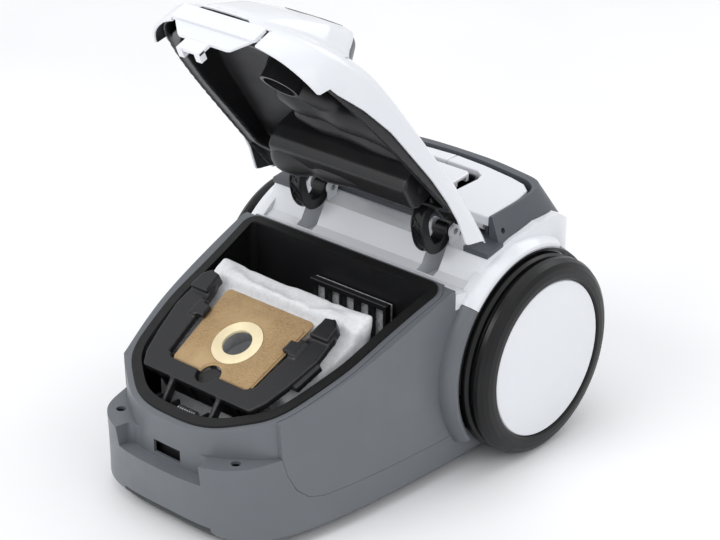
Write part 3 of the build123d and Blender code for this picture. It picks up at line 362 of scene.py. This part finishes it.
def strip_faces(rows, closed=False):
    """Faces between rows of vertex indices."""
    faces = []
    for a, b in zip(rows, rows[1:]):
        count = len(a)
        for i in range(count if closed else count - 1):
            j = (i + 1) % count
            faces.append((a[i], a[j], b[j], b[i]))
    return faces


# ---- lid shell ------------------------------------------------------------------------------
LID = [(0, -318), (25, -317), (46, -312), (66, -302), (84, -285), (95, -262), (103, -238), (110, -205),
       (115, -165), (119, -125), (122, -85), (124, -58), (124.6, -47.5)]
SKIN = [(-340, 69, 88), (-318, 87, 112), (-290, 108, 144), (-255, 131.5, 171), (-240, 138.5, 178),
        (-212, 148.5, 186.5), (-184, 157.5, 193.5), (-153, 167.5, 200.5), (-110, 180.5, 210.5),
        (-57, 191, 218), (-30, 194.5, 220.5)]
EDGE = [(-330, 94), (-312, 94.5), (-300, 97.5), (-286, 99.6), (-270, 102.5), (-267.6, 114.5), (-259, 118),
        (-236, 131), (-204, 145), (-171, 155), (-140, 164.5), (-110, 171.5), (-87, 175.0), (-62, 174.5),
        (-60, 175.5), (-47, 199), (-43, 214)]
HOOD = [(-330, 104), (-318, 119), (-312, 127), (-290, 158), (-268, 182), (-250, 198), (-246, 200),
        (-240, 190), (-225, 130), (-200, 60)]
HOOD_HALF = [(-330, 20), (-312, 27), (-290, 35), (-268, 40), (-246, 43), (-200, 43)]


def skin_height(x, y):
    """The height of the shut lid's outer surface: its crown, blended with the hood."""
    low, high = between(SKIN, y, 1), between(SKIN, y, 2)
    base = high - (high - low) * (x / 136.0) ** 2
    beyond = abs(x) - straight(HOOD_HALF, y)
    hood = straight(HOOD, y) - 2.3 * 0.5 * (beyond + math.sqrt(beyond * beyond + 30.0))
    gap = base - hood
    return 0.5 * (base + hood + math.sqrt(gap * gap + 20.0))


def edge_height(x, y):
    """The height of the shut lid's lower edge."""
    return 113.3 if abs(x) < 46.5 and y < -290 else straight(EDGE, y)


def smooth_line(points, per_span=40):
    """A dense Catmull-Rom curve through the points."""
    line = []
    padded = [points[0]] + points + [points[-1]]
    for a, b, c, d in zip(padded, padded[1:], padded[2:], padded[3:]):
        for k in range(per_span):
            t = k / per_span
            line.append(tuple(0.5 * (2 * q + (r - p) * t + (2 * p - 5 * q + 4 * r - s) * t * t
                                     + (3 * q - p - 3 * r + s) * t ** 3) for p, q, r, s in zip(a, b, c, d)))
    line.append(points[-1])
    return line


def lid_border():
    """Samples along the lid's border from the left rear corner round the front to the right rear corner."""
    half = smooth_line([(-LID[1][0], LID[1][1])] + LID)[40:]
    lengths = [0.0]
    for p, q in zip(half, half[1:]):
        lengths.append(lengths[-1] + math.dist(p, q))

    def at(length):
        for i in range(len(half) - 1):
            if lengths[i + 1] >= length:
                t = (length - lengths[i]) / max(lengths[i + 1] - lengths[i], 1e-9)
                return tuple(a + (b - a) * t for a, b in zip(half[i], half[i + 1]))
        return half[-1]

    def length_of(axis, value):
        for i in range(len(half) - 1):
            if half[i + 1][axis] >= value:
                return lengths[i + 1]
        return lengths[-1]

    corner = length_of(0, 66.0)
    front = [corner * k / 28 for k in range(29)]
    front = sorted(front + [length_of(0, 46.2), length_of(0, 46.9)])
    side = [corner + (lengths[-1] - corner) * k / 120 for k in range(121)]
    notch = [length_of(1, y) for y in (-271, -270, -269, -268.2, -267.4, -266)]
    side = sorted(set(side[1:] + notch))
    return at, front, side


def build_lid_shell():
    """The lid's skin: an outer and an inner sheet joined by a rounded edge."""
    at, front, side = lid_border()
    right = [at(s) for s in front + side]
    half_count = len(front)
    normals = []
    for i, (x, y) in enumerate(right):
        before = right[i - 1] if i else (-right[1][0], right[1][1])
        after = right[min(i + 1, len(right) - 1)]
        tx, ty = after[0] - before[0], after[1] - before[1]
        size = math.hypot(tx, ty)
        normals.append((-ty / size, tx / size))
    rings = [(6.0, "top", 0.0), (3.4, "top", 0.7), (1.5, "top", 2.2), (0.4, "top", 4.6), (0.0, "top", 7.0),
             (0.0, "edge", 0.9), (0.5, "edge", 0.0), (2.2, "edge", 0.0), (2.8, "edge", 0.9),
             (2.8, "top", 9.0), (4.0, "top", 5.2), (6.0, "top", 3.0)]
    points, ring_rows = [], []
    for depth, kind, drop in rings:
        row = []
        for side_sign in (-1, 1):
            samples = range(len(right) - 1, 0, -1) if side_sign < 0 else range(len(right))
            for i in samples:
                (x, y), (nx, ny) = right[i], normals[i]
                px, py = max(0.0, x + nx * depth) * side_sign, y + ny * depth
                if i > half_count + 110:
                    py = y
                base = skin_height(px, py)
                edge = min(edge_height(x, y), base - 3.6)
                height = base - drop if kind == "top" else edge + drop
                if kind == "top" and drop > 3.5 or kind == "edge":
                    height = max(height, edge + (drop if kind == "edge" else 1.0))
                row.append(len(points))
                points.append((px, py, height))
        ring_rows.append(row)
    # The two faces of the sheet: grids spanned between a ring's front and sides and the straight rear.
    count = len(right)
    columns, rows = 2 * half_count - 1, count - half_count
    grids = []
    for source, lift in ((0, 0.0), (len(rings) - 1, -3.0)):
        base_row = ring_rows[source]
        left = [points[i] for i in base_row[:count - half_count][::-1]]
        front_line = [points[i] for i in base_row[count - half_count:count + half_count - 1]]
        rightmost = [points[i] for i in base_row[count + half_count - 1:]]
        grid = [list(base_row[count - half_count:count + half_count - 1])]
        total = [0.0]
        for p, q in zip([front_line[-1]] + rightmost, rightmost):
            total.append(total[-1] + math.dist(p[:2], q[:2]))
        for j in range(rows):
            v = total[j + 1] / total[-1]
            line = [base_row[:count - half_count][::-1][j]]
            for i in range(1, columns - 1):
                u = i / (columns - 1)
                fx, fy = front_line[i][0], front_line[i][1]
                bx = left[-1][0] + (rightmost[-1][0] - left[-1][0]) * u
                by = left[-1][1]
                sx = left[j][0] * (1 - u) + rightmost[j][0] * u
                sy = left[j][1] * (1 - u) + rightmost[j][1] * u
                cx = ((front_line[0][0] * (1 - u) + front_line[-1][0] * u) * (1 - v)
                      + (left[-1][0] * (1 - u) + rightmost[-1][0] * u) * v)
                cy = (front_line[0][1] * (1 - u) + front_line[-1][1] * u) * (1 - v) + by * v
                px = fx * (1 - v) + bx * v + sx - cx
                py = fy * (1 - v) + by * v + sy - cy
                line.append(len(points))
                points.append((px, py, skin_height(px, py) + lift))
            line.append(base_row[count + half_count - 1:][j])
            grid.append(line)
        grids.append(grid)
    faces = strip_faces(ring_rows)
    for grid in grids:
        faces += strip_faces(grid)
    # Rear edge of the sheet.
    faces += strip_faces([grids[0][-1], grids[1][-1]])
    ends = [[row[0] for row in ring_rows], [row[-1] for row in ring_rows]]
    for end in ends:
        faces.append(tuple(end))
    inner = set(ring_rows[8]) | set(ring_rows[9]) | set(ring_rows[10]) | set(ring_rows[11])
    inner.update(index for line in grids[1] for index in line)
    mesh = bpy.data.meshes.new("lid_skin")
    mesh.from_pydata([tuple(opened(*p)) for p in points], [], faces)
    for name in ("outer", "inner"):
        mesh.materials.append(bpy.data.materials.new(name))
    for polygon in mesh.polygons:
        polygon.material_index = 1 if all(index in inner for index in polygon.vertices) else 0
    work = bmesh.new()
    work.from_mesh(mesh)
    bmesh.ops.remove_doubles(work, verts=work.verts, dist=0.00001)
    bmesh.ops.recalc_face_normals(work, faces=work.faces)
    work.to_mesh(mesh)
    work.free()
    mesh.shade_smooth()
    return mesh


def collar_cutter():
    """The flared space that the hose collar fills, a little larger."""
    count = 96
    cone = ((-30, 62.9), (12, 52.4), (76, 36.4))
    points = [on_axis(t, r, 2 * math.pi * k / count) for t, r in cone for k in range(count)]
    rows = [[r * count + k for k in range(count)] for r in range(3)]
    faces = strip_faces(rows, closed=True) + [tuple(rows[0][::-1]), tuple(rows[2])]
    mesh = mesh_from("collar_cutter", points, faces)
    work = bmesh.new()
    work.from_mesh(mesh)
    mouth = [(-330, 124.4), (-262, 183.9), (-246, 196.4), (-190, 207.4)]
    for (y0, z0), (y1, z1) in zip(mouth, mouth[1:]):
        a, b = opened(0, y0, z0), opened(0, y1, z1)
        normal = (b - a).cross(Vector((1, 0, 0)))
        if normal.dot(on_axis(40, 0, 0) - a) > 0:
            normal = -normal
        cut = bmesh.ops.bisect_plane(work, geom=work.verts[:] + work.edges[:] + work.faces[:], plane_co=a,
                                     plane_no=normal, clear_outer=True)
        rim = [e for e in cut["geom_cut"] if isinstance(e, bmesh.types.BMEdge)]
        bmesh.ops.edgeloop_fill(work, edges=rim)
    bmesh.ops.recalc_face_normals(work, faces=work.faces)
    work.to_mesh(mesh)
    work.free()
    return mesh


def round_cutter(radius, low, high):
    """A closed cylinder on the plate's axis, as that axis lies in the open lid."""
    count = 72
    points = [on_axis(t, radius, 2 * math.pi * k / count) for t in (low, high) for k in range(count)]
    rows = [[r * count + k for k in range(count)] for r in range(2)]
    faces = strip_faces(rows, closed=True) + [tuple(rows[0][::-1]), tuple(rows[1])]
    return mesh_from("round_cutter", points, faces)


def cut(mesh, cutters):
    """The mesh with the cutter meshes taken away."""
    target = bpy.data.objects.new("cut_target", mesh)
    bpy.context.scene.collection.objects.link(target)
    tools = []
    for cutter in cutters:
        tool = bpy.data.objects.new("cut_tool", cutter)
        bpy.context.scene.collection.objects.link(tool)
        modifier = target.modifiers.new("cut", "BOOLEAN")
        modifier.operation = "DIFFERENCE"
        modifier.solver = "EXACT"
        modifier.object = tool
        tools.append(tool)
    bpy.context.view_layer.update()
    result = apply_modifiers(target)
    for tool in tools:
        bpy.data.objects.remove(tool)
    bpy.data.objects.remove(target)
    return result


lid_mesh = cut(build_lid_shell(), [collar_cutter(), round_cutter(26.4, -10, 90)])
lid_mesh.set_sharp_from_angle(angle=math.radians(32))
inner_faces = [polygon.index for polygon in lid_mesh.polygons if polygon.material_index == 1]
add_piece("lid_skin", lid_mesh, WHITE, "lid", ("lid_shell",))
lid_mesh.materials.append(LINER)
for index in inner_faces:
    lid_mesh.polygons[index].material_index = 1


# ---- softened CAD nodes ---------------------------------------------------------------------
def soften(node, voxel, rounds):
    """Rounds a CAD node's facets with modifiers; its mesh stays as it is."""
    target = NODES[node]
    melt = target.modifiers.new("melt", "REMESH")
    melt.mode = "VOXEL"
    melt.voxel_size = voxel
    melt.use_smooth_shade = True
    relax = target.modifiers.new("relax", "SMOOTH")
    relax.factor = 0.5
    relax.iterations = rounds


soften("lid_liner", 0.00105, 14)
soften("bag_holder", 0.0009, 5)


# ---- moulded forms inside the lid -----------------------------------------------------------
def swept(points, sides=20):
    """Points and faces of a round bar with domed ends, through (x, y, z, radius) points of the shut lid."""
    line = smooth_line(points, 8)
    verts, rows = [], []
    rings = []
    x, y, z, r = line[0]
    for k in range(1, 5):
        a = math.pi / 2 * k / 5
        rings.append((x - r * math.cos(a), y, z, r * math.sin(a)))
    rings += line
    x, y, z, r = line[-1]
    for k in range(4, 0, -1):
        a = math.pi / 2 * k / 5
        rings.append((x + r * math.cos(a), y, z, r * math.sin(a)))
    for x, y, z, r in rings:
        row = []
        for k in range(sides):
            a = 2 * math.pi * k / sides
            row.append(len(verts))
            verts.append(opened(x, y + r * math.cos(a), z + r * math.sin(a)))
        rows.append(row)
    faces = strip_faces(rows, closed=True) + [tuple(rows[0][::-1]), tuple(rows[-1])]
    return verts, faces


def fused(name, shapes, voxel=0.0016, rounds=6):
    """Shapes melted into one moulded form."""
    verts, faces = [], []
    for shape_verts, shape_faces in shapes:
        offset = len(verts)
        verts += shape_verts
        faces += [tuple(i + offset for i in face) for face in shape_faces]
    mesh = bpy.data.meshes.new(name)
    mesh.from_pydata([tuple(v) for v in verts], [], faces)
    obj = bpy.data.objects.new(name + "_work", mesh)
    bpy.context.scene.collection.objects.link(obj)
    remesh = obj.modifiers.new("melt", "REMESH")
    remesh.mode = "VOXEL"
    remesh.voxel_size = voxel
    smooth = obj.modifiers.new("soften", "SMOOTH")
    smooth.factor = 0.6
    smooth.iterations = rounds
    bpy.context.view_layer.update()
    result = apply_modifiers(obj)
    result.name = name
    bpy.data.objects.remove(obj)
    result.shade_smooth()
    return result


BULGE = [(-50, -113, 165, 18.5), (-36, -113, 165, 18), (-18, -113, 167, 14.5), (0, -114, 166, 15.5),
         (40, -116, 168, 15), (80, -118, 170, 15)]
DUCT = [(-40, -176, 181, 15), (-22, -172, 179, 15), (0, -168, 181, 13), (22, -166, 179, 13.5),
        (50, -162, 181, 13), (80, -156, 180, 12.5)]
RIDGE = [(-34, -152, 183, 11), (-10, -148, 182, 11), (16, -144, 184, 10), (50, -140, 183, 11),
         (82, -138, 183, 11)]
BRACE = [(-36, -205, 176, 14), (-24, -196, 175, 12), (-8, -186, 176, 11), (10, -178, 178, 10)]

def shut(point):
    """The inverse of opened: the shut lid's coordinates, in millimetres."""
    y, z = (point.y - SHIFT) * 1000 - HINGE_Y, point.z * 1000 - HINGE_Z
    turn_cos, turn_sin = math.cos(LID_OPEN), math.sin(LID_OPEN)
    return (point.x * 1000, HINGE_Y + y * turn_cos - z * turn_sin, HINGE_Z + y * turn_sin + z * turn_cos)


forms = fused("lid_mouldings", [swept(line) for line in (BULGE, DUCT, RIDGE, BRACE)])
for vertex in forms.vertices:
    x, y, z = shut(vertex.co)
    roof = straight([(at, high - (high - low) * (x / 136.0) ** 2) for at, low, high in SKIN], y) - 4.5
    if z > roof:
        vertex.co = opened(x, y, roof)
add_piece("lid_mouldings", forms, LINER, "lid")


# ---- dust bag -------------------------------------------------------------------------------
def pillow(name, node, voxel, cap, pressure, smoothing):
    """A soft form in a CAD node's space: remeshed, inflated as cloth, and held to a small movement."""
    work = bpy.data.objects.new(name + "_work", bpy.data.objects[node].data.copy())
    bpy.context.scene.collection.objects.link(work)
    remesh = work.modifiers.new("remesh", "REMESH")
    remesh.mode = "VOXEL"
    remesh.voxel_size = voxel
    relax = work.modifiers.new("relax", "SMOOTH")
    relax.factor = 0.7
    relax.iterations = smoothing
    bpy.context.view_layer.update()
    apply_modifiers(work)
    start = [v.co.copy() for v in work.data.vertices]
    cloth = work.modifiers.new("cloth", "CLOTH")
    cloth.settings.quality = 6
    cloth.settings.mass = 0.12
    cloth.settings.tension_stiffness = 12
    cloth.settings.bending_stiffness = 0.4
    cloth.settings.use_pressure = True
    cloth.settings.uniform_pressure_force = pressure
    cloth.settings.effector_weights.gravity = 0.0
    cloth.point_cache.frame_start, cloth.point_cache.frame_end = 1, 20
    for frame_number in range(1, 21):
        bpy.context.scene.frame_set(frame_number)
    apply_modifiers(work)
    bpy.context.scene.frame_set(1)
    for vertex, origin in zip(work.data.vertices, start):
        shift = vertex.co - origin
        if shift.length > cap:
            vertex.co = origin + shift * (cap / shift.length)
    return work


def plate_coords(point):
    """The inverse of on_plate: across, up the slope, and square to the plate, in millimetres."""
    y, z = (point.y - SHIFT) * 1000 - PLATE_Y, point.z * 1000 - PLATE_Z
    return (point.x * 1000, y * math.cos(TILT) + z * math.sin(TILT), -y * math.sin(TILT) + z * math.cos(TILT))


# The bag's front and its top under the plate (mm), and the sleeve's (radius, height) rings.
BAG_FRONT, UNDER_PLATE = -244.0, -9.6
SLEEVE = [(24.4, -2.3), (25.4, -2.3), (25.6, -9), (27.0, -13),
          (26.0, -26), (25.0, -26), (25.8, -13), (24.4, -9)]


def build_bag():
    """The pillow with its folds, and the sleeve that joins it to the plate."""
    work = pillow("fleece_bag", "bag_body", voxel=0.004, cap=0.005, pressure=4.0, smoothing=3)
    for vertex in work.data.vertices:
        # Soft folds: long shallow waves running down the sides, fine crumpling, and a few creases.
        low = noise.noise(Vector((vertex.co.x * 26, vertex.co.y * 30, vertex.co.z * 7)))
        fine = noise.noise(Vector((vertex.co.x * 70, vertex.co.y * 60, vertex.co.z * 22 + 5)))
        crease = abs(noise.noise(Vector((vertex.co.x * 17 + 3, vertex.co.y * 19, vertex.co.z * 13))))
        push = 0.0011 * low + 0.0004 * fine - 0.0016 * max(0.0, 0.12 - crease) / 0.12 - 0.0010
        vertex.co += vertex.normal * push
        # Drawn back from the front wall, and held down by the plate and its carrier.
        front = SHIFT + BAG_FRONT / 1000 + 0.0035 * math.sin(vertex.co.x * 60)
        if vertex.co.y < front:
            vertex.co.y = front + (vertex.co.y - front) * 0.15
        x, s, up = plate_coords(vertex.co)
        limit = UNDER_PLATE if s < 52 else UNDER_PLATE + min(1.0, (s - 52) / 6.0) * 7.6
        limit -= max(0.0, -24 - s) * 1.9
        if up > limit:
            vertex.co = on_plate(x, s, limit)
    top = work.modifiers.new("fine", "SUBSURF")
    top.levels = top.render_levels = 1
    bpy.context.view_layer.update()
    mesh = apply_modifiers(work)
    # The pleated sleeve under the plate.
    shell = bmesh.new()
    shell.from_mesh(mesh)
    sides = 96
    rows = []
    for radius, up in SLEEVE:
        row = []
        for k in range(sides):
            angle = 2 * math.pi * k / sides
            reach = radius + (0.35 * math.sin(angle * 14) if up < -4 else 0.0)
            row.append(shell.verts.new(on_plate(reach * math.cos(angle), reach * math.sin(angle), up)))
        rows.append(row)
    for a, b in zip(rows, rows[1:] + rows[:1]):
        for k in range(sides):
            shell.faces.new((a[k], a[(k + 1) % sides], b[(k + 1) % sides], b[k]))
    bmesh.ops.recalc_face_normals(shell, faces=shell.faces)
    result = bpy.data.meshes.new("fleece_bag")
    shell.to_mesh(result)
    shell.free()
    bpy.data.objects.remove(work)
    result.shade_smooth()
    return result


bag = add_piece("fleece_bag", build_bag(), FLEECE, "bag", ("bag_body", "bag_neck"))


def rounded_outline(corners, radius, steps=6):
    """A polygon with rounded corners as a list of points."""
    points = []
    count = len(corners)
    for i in range(count):
        a, b, c = Vector(corners[i - 1]), Vector(corners[i]), Vector(corners[(i + 1) % count])
        to_a, to_c = (a - b).normalized(), (c - b).normalized()
        half = to_a.angle(to_c) / 2
        reach = min(radius / math.tan(half), (a - b).length * 0.45, (c - b).length * 0.45)
        r = reach * math.tan(half)
        centre = b + (to_a + to_c).normalized() * (r / math.sin(half))
        start, end = b + to_a * reach - centre, b + to_c * reach - centre
        sweep = math.atan2(start.x * end.y - start.y * end.x, start.dot(end))
        for k in range(steps + 1):
            turn = sweep * k / steps
            points.append((centre.x + start.x * math.cos(turn) - start.y * math.sin(turn),
                           centre.y + start.x * math.sin(turn) + start.y * math.cos(turn)))
    return points


def slab(outline, hole, low, high, bevel):
    """A flat sheet with a hole and softened edges, lying on the bag plate's plane."""
    work = bmesh.new()
    for line in (outline, hole):
        loop = [work.verts.new(on_plate(x, s, high)) for x, s in line]
        for a, b in zip(loop, loop[1:] + loop[:1]):
            work.edges.new((a, b))
    bmesh.ops.triangle_fill(work, edges=work.edges[:], use_beauty=True)
    extruded = bmesh.ops.extrude_face_region(work, geom=work.faces[:])
    lower = [part for part in extruded["geom"] if isinstance(part, bmesh.types.BMVert)]
    offset = on_plate(0, 0, low) - on_plate(0, 0, high)
    bmesh.ops.translate(work, verts=lower, vec=offset)
    bmesh.ops.recalc_face_normals(work, faces=work.faces)
    rims = [e for e in work.edges if len(e.link_faces) == 2 and e.calc_face_angle(0) > 1.2]
    bmesh.ops.bevel(work, geom=rims, offset=bevel / 1000, segments=2, profile=0.5, affect="EDGES")
    mesh = bpy.data.meshes.new("slab")
    work.to_mesh(mesh)
    work.free()
    return mesh


def joined(name, meshes):
    """Several meshes as one."""
    work = bmesh.new()
    for mesh in meshes:
        work.from_mesh(mesh)
        bpy.data.meshes.remove(mesh)
    result = bpy.data.meshes.new(name)
    work.to_mesh(result)
    work.free()
    result.shade_smooth()
    result.set_sharp_from_angle(angle=math.radians(35))
    return result


def round_line(radius, count=72):
    """A circle as a list of points."""
    angles = [2 * math.pi * k / count for k in range(count)]
    return [(radius * math.cos(angle), radius * math.sin(angle)) for angle in angles]


def notched(points, centre_s, radius):
    """The outline with a round bite out of its lower edge."""
    kept = [p for p in points if not (abs(p[0]) < radius and abs(p[1] - centre_s) < 2)]
    angles = [math.pi * k / 16 for k in range(17)]
    bite = [(-radius * math.cos(angle), centre_s + radius * math.sin(angle)) for angle in angles]
    index = min(range(len(kept)), key=lambda i: abs(kept[i][0] + 40) + abs(kept[i][1] - centre_s))
    following = kept[(index + 1) % len(kept)]
    while kept[index][0] < -radius and following[0] < -radius and abs(following[1] - centre_s) < 3:
        index = (index + 1) % len(kept)
        following = kept[(index + 1) % len(kept)]
    return kept[:index + 1] + bite + kept[index + 1:]


CARD_PLAN = [(-45, -37.5), (45, -37.5), (51, 46), (-51, 46)]
CARD_FACE = [(-43.6, -36.2), (43.6, -36.2), (48.2, 35.5), (-48.2, 35.5)]
card_base = slab(notched(rounded_outline(CARD_PLAN, 5), -37.5, 10.8), round_line(23.05), -2.2, -0.75, 0.15)
card_face = slab(notched(rounded_outline(CARD_FACE, 3), -36.2, 11.6), round_line(23.4), -0.8, -0.05, 0.18)
card_mesh = joined("bag_card", [card_base, card_face])
add_piece("bag_card", card_mesh, CARD, "bag", ("bag_plate",))


# ---- hinge arms -----------------------------------------------------------------------------
ARM_PATH = [(-38, 202), (-33.5, 195), (-31.5, 187), (-35, 178.5), (-44, 174.2), (-55, 174.4),
            (-65, 177), (-71.5, 183), (-74, 194)]


def build_arms():
    """Two gooseneck arms: a smooth curved web with raised edges and a lattice of ribs on its outer face."""
    points, faces = [], []
    line = smooth_line(ARM_PATH, 8)
    profile = [(-6.6, -4.2), (-5.8, -5.0), (5.8, -5.0), (6.6, -4.2), (6.6, 4.2), (5.8, 5.0),
               (4.6, 5.0), (4.2, 3.4), (-4.2, 3.4), (-4.6, 5.0), (-5.8, 5.0), (-6.6, 4.2)]
    for side in (-1, 1):
        rows = []
        for i, (y, z) in enumerate(line):
            before, after = line[max(i - 1, 0)], line[min(i + 1, len(line) - 1)]
            length = math.dist(before, after)
            ny, nz = -(after[1] - before[1]) / length, (after[0] - before[0]) / length
            row = []
            for across, out in profile:
                row.append(len(points))
                points.append(opened(side * ARM_X + across, y + ny * out, z + nz * out))
            rows.append(row)
        faces += strip_faces(rows, closed=True) + [tuple(rows[0]), tuple(rows[-1][::-1])]
        for i in range(10, len(line) - 8, 7):
            for lean in (-1, 1):
                (ya, za), (yb, zb) = line[i], line[min(i + 7, len(line) - 1)]
                length = math.dist((ya, za), (yb, zb))
                ny, nz = -(zb - za) / length, (yb - ya) / length
                ty, tz = (yb - ya) / length, (zb - za) / length
                a = len(points)
                for x, y, z, along in ((-4.3 * lean, ya, za, -0.6), (-4.3 * lean, ya, za, 0.6),
                                       (4.3 * lean, yb, zb, 0.6), (4.3 * lean, yb, zb, -0.6)):
                    for out in (3.2, 4.7):
                        rib_y, rib_z = y + ty * along + ny * out, z + tz * along + nz * out
                        points.append(opened(side * ARM_X + x, rib_y, rib_z))
                faces += [(a, a + 2, a + 4, a + 6), (a + 1, a + 7, a + 5, a + 3),
                          (a, a + 1, a + 3, a + 2), (a + 2, a + 3, a + 5, a + 4),
                          (a + 4, a + 5, a + 7, a + 6), (a + 6, a + 7, a + 1, a)]
        count = 32
        barrel = []
        for across, radius in ((-7, 5.4), (-6.2, 6.4), (6.2, 6.4), (7, 5.4), (7, 3.2), (-7, 3.2)):
            row = []
            for k in range(count):
                turn = 2 * math.pi * k / count
                row.append(len(points))
                y, z = HINGE_Y + radius * math.cos(turn), HINGE_Z + radius * math.sin(turn)
                points.append(opened(side * ARM_X + across, y, z))
            barrel.append(row)
        faces += strip_faces(barrel + barrel[:1], closed=True)
    return mesh_from("gooseneck_arms", points, faces, 35)


add_piece("gooseneck_arms", build_arms(), BLACK, "lid", ("hinge_arms",))


# ---- wheel arches ---------------------------------------------------------------------------
def arch_sector(name, side, start, end, material):
    """A rounded lip round part of the wheel, between two angles measured from the nose over the top."""
    profile = [(117, 93.2), (134.6, 93.0), (135.8, 94.2), (136.2, 96.0), (135.2, 98.2), (131.0, 101.0),
               (125.0, 103.0), (117, 103.6)]
    steps = max(12, int(abs(end - start) / 2))
    points, rows = [], []
    for k in range(steps + 1):
        angle = math.radians(start + (end - start) * k / steps)
        row = []
        for x, radius in profile:
            row.append(len(points))
            points.append(place(side * x, -radius * math.cos(angle), WHEEL_Z + radius * math.sin(angle)))
        rows.append(row)
    faces = strip_faces(rows, closed=True) + [tuple(rows[0]), tuple(rows[-1][::-1])]
    return add_piece(name, mesh_from(name, points, faces, 30), material, "casing")


for side_name, side_sign in (("left", -1), ("right", 1)):
    arch_sector("arch_front_" + side_name, side_sign, -36, 42, GREY)
    arch_sector("arch_top_" + side_name, side_sign, 42.3, 116, WHITE)


# ---- latch button ---------------------------------------------------------------------------
def build_latch():
    """The grip in the lid's front edge, its tapering apron and the two teeth of its hook."""
    points, faces = [], []

    def plate(outline_points, y_front, depth):
        first = len(points)
        count = len(outline_points)
        inner = [(x * 0.97, z) for x, z in outline_points]
        for ring, y in ((inner, y_front), (outline_points, y_front + 0.7), (outline_points, y_front + depth)):
            for x, z in ring:
                points.append(opened(x, y + 0.0011 * x * x, z))
        rows = [[first + r * count + k for k in range(count)] for r in range(3)]
        faces.extend(strip_faces(rows, closed=True) + [tuple(rows[0]), tuple(rows[-1][::-1])])

    plate([(-45, 110.2), (-45.3, 97), (-43, 94.6), (43, 94.6), (45.3, 97), (45, 110.2), (44.2, 111.2),
           (-44.2, 111.2)], -318.2, 3.6)
    plate([(-42, 96), (-24, 80.5), (-21, 79.2), (30, 79.2), (33, 80.5), (42, 96)], -315.6, 2.6)
    plate([(-12.5, 81), (-12.5, 67), (12.5, 67), (12.5, 81)], -314.8, 2.8)
    for x in (-12.5, 6.5):
        plate([(x, 72.5), (x, 66.4), (x + 6, 66.4), (x + 6, 72.5)], -314.6, 9.0)
    plate([(-40, 110.6), (-40, 107.6), (40, 107.6), (40, 110.6)], -315.6, 13.0)
    return mesh_from("latch_grip", points, faces, 30)


add_piece("latch_grip", build_latch(), WHITE, "latch", ("latch_button",))


# ---- ribs in the chamber --------------------------------------------------------------------
def rib_set(name, bars):
    """Upright bars (x0, z0, x1, z1, front y, back y) with softened front edges, as one moulding."""
    points, faces = [], []
    for x0, z0, x1, z1, front, back in bars:
        first = len(points)
        for y, shrink in ((front, 0.5), (front + 0.5, 0.0), (back, 0.0)):
            for x, z in ((x0 + shrink, z0 + shrink), (x1 - shrink, z0 + shrink), (x1 - shrink, z1 - shrink),
                         (x0 + shrink, z1 - shrink)):
                points.append(place(x, y, z))
        rows = [[first + r * 4 + k for k in range(4)] for r in range(3)]
        faces.extend(strip_faces(rows, closed=True) + [tuple(rows[0]), tuple(rows[-1][::-1])])
    return mesh_from(name, points, faces, 30)


GRILLE = [(-26.2, 91, 62.2, 96, -104.3, -98), (-26.2, 142, 62.2, 147, -104.3, -98)]
GRILLE += [(-26.2 + 16.9 * k, 95, -22.3 + 16.9 * k, 143, -104.3, -98) for k in range(6)]
grille_mesh = rib_set("grille_ribs", GRILLE)
add_piece("grille_ribs", grille_mesh, BLACK, "filter_cassette", ("grille_frame",))


def build_skirt_and_painted_shade():
    """The carrier's front skirt with four upright ribs: a black sheet that hides the bag behind the lugs,
    partly the carrier's own black moulding and partly painted shade where that gap lies in shadow.
    """
    points, faces = [], []
    bars = [(-57, 57, -52.5, -50.5, -3.4, -25.0)]
    bars += [(x, x + 2.4, -55.0, -52.0, -3.4, -20.0) for x in (-44, -12, 12, 42)]
    for x0, x1, s0, s1, top, bottom in bars:
        first = len(points)
        for up, shrink in ((top, 0.0), (bottom + 1, 0.0), (bottom, 0.6)):
            taper = 1.0 if x1 - x0 < 10 else 1.0 - 0.012 * (top - up)
            near, far = s0 + shrink, s1 - shrink * 0.5
            for x, s in ((x0, near), (x1, near), (x1, far), (x0, far)):
                points.append(on_plate(x * taper, s, up))
        rows = [[first + r * 4 + k for k in range(4)] for r in range(3)]
        faces.extend(strip_faces(rows, closed=True) + [tuple(rows[0]), tuple(rows[-1][::-1])])
    return mesh_from("carrier_skirt", points, faces, 30)


# Black skirt behind the lugs: partly real black moulding, partly painted shade over the bag in that gap.
add_piece("carrier_skirt", build_skirt_and_painted_shade(), BLACK, "holder")
SPRING_SEAT = [(x, 84.5, x + 2.2, 97.5, -288.5, -273.0) for x in (-36, -20, 15, 33)]
SPRING_SEAT += [(-20, 84.2, 17, 87.0, -288.5, -268.0), (-37.5, 84.2, -14, 91.0, -288.5, -281.5)]
add_piece("spring_seat", rib_set("spring_seat", SPRING_SEAT), BLACK, "casing")


# ---- floor ----------------------------------------------------------------------------------
floor_mesh = bpy.data.meshes.new("floor")
floor_mesh.from_pydata([(-4, -4, 0), (4, -4, 0), (4, 4, 0), (-4, 4, 0)], [], [(0, 1, 2, 3)])
floor = bpy.data.objects.new("floor", floor_mesh)
bpy.context.scene.collection.objects.link(floor)
floor_surface = Surface("floor", srgb(246, 246, 247), 0.7, Specular_IOR_Level=0.2)
floor_surface.vary_colour(floor_surface.noise(3.0, 2.0), srgb(242, 242, 243))
floor_mesh.materials.append(floor_surface.material)
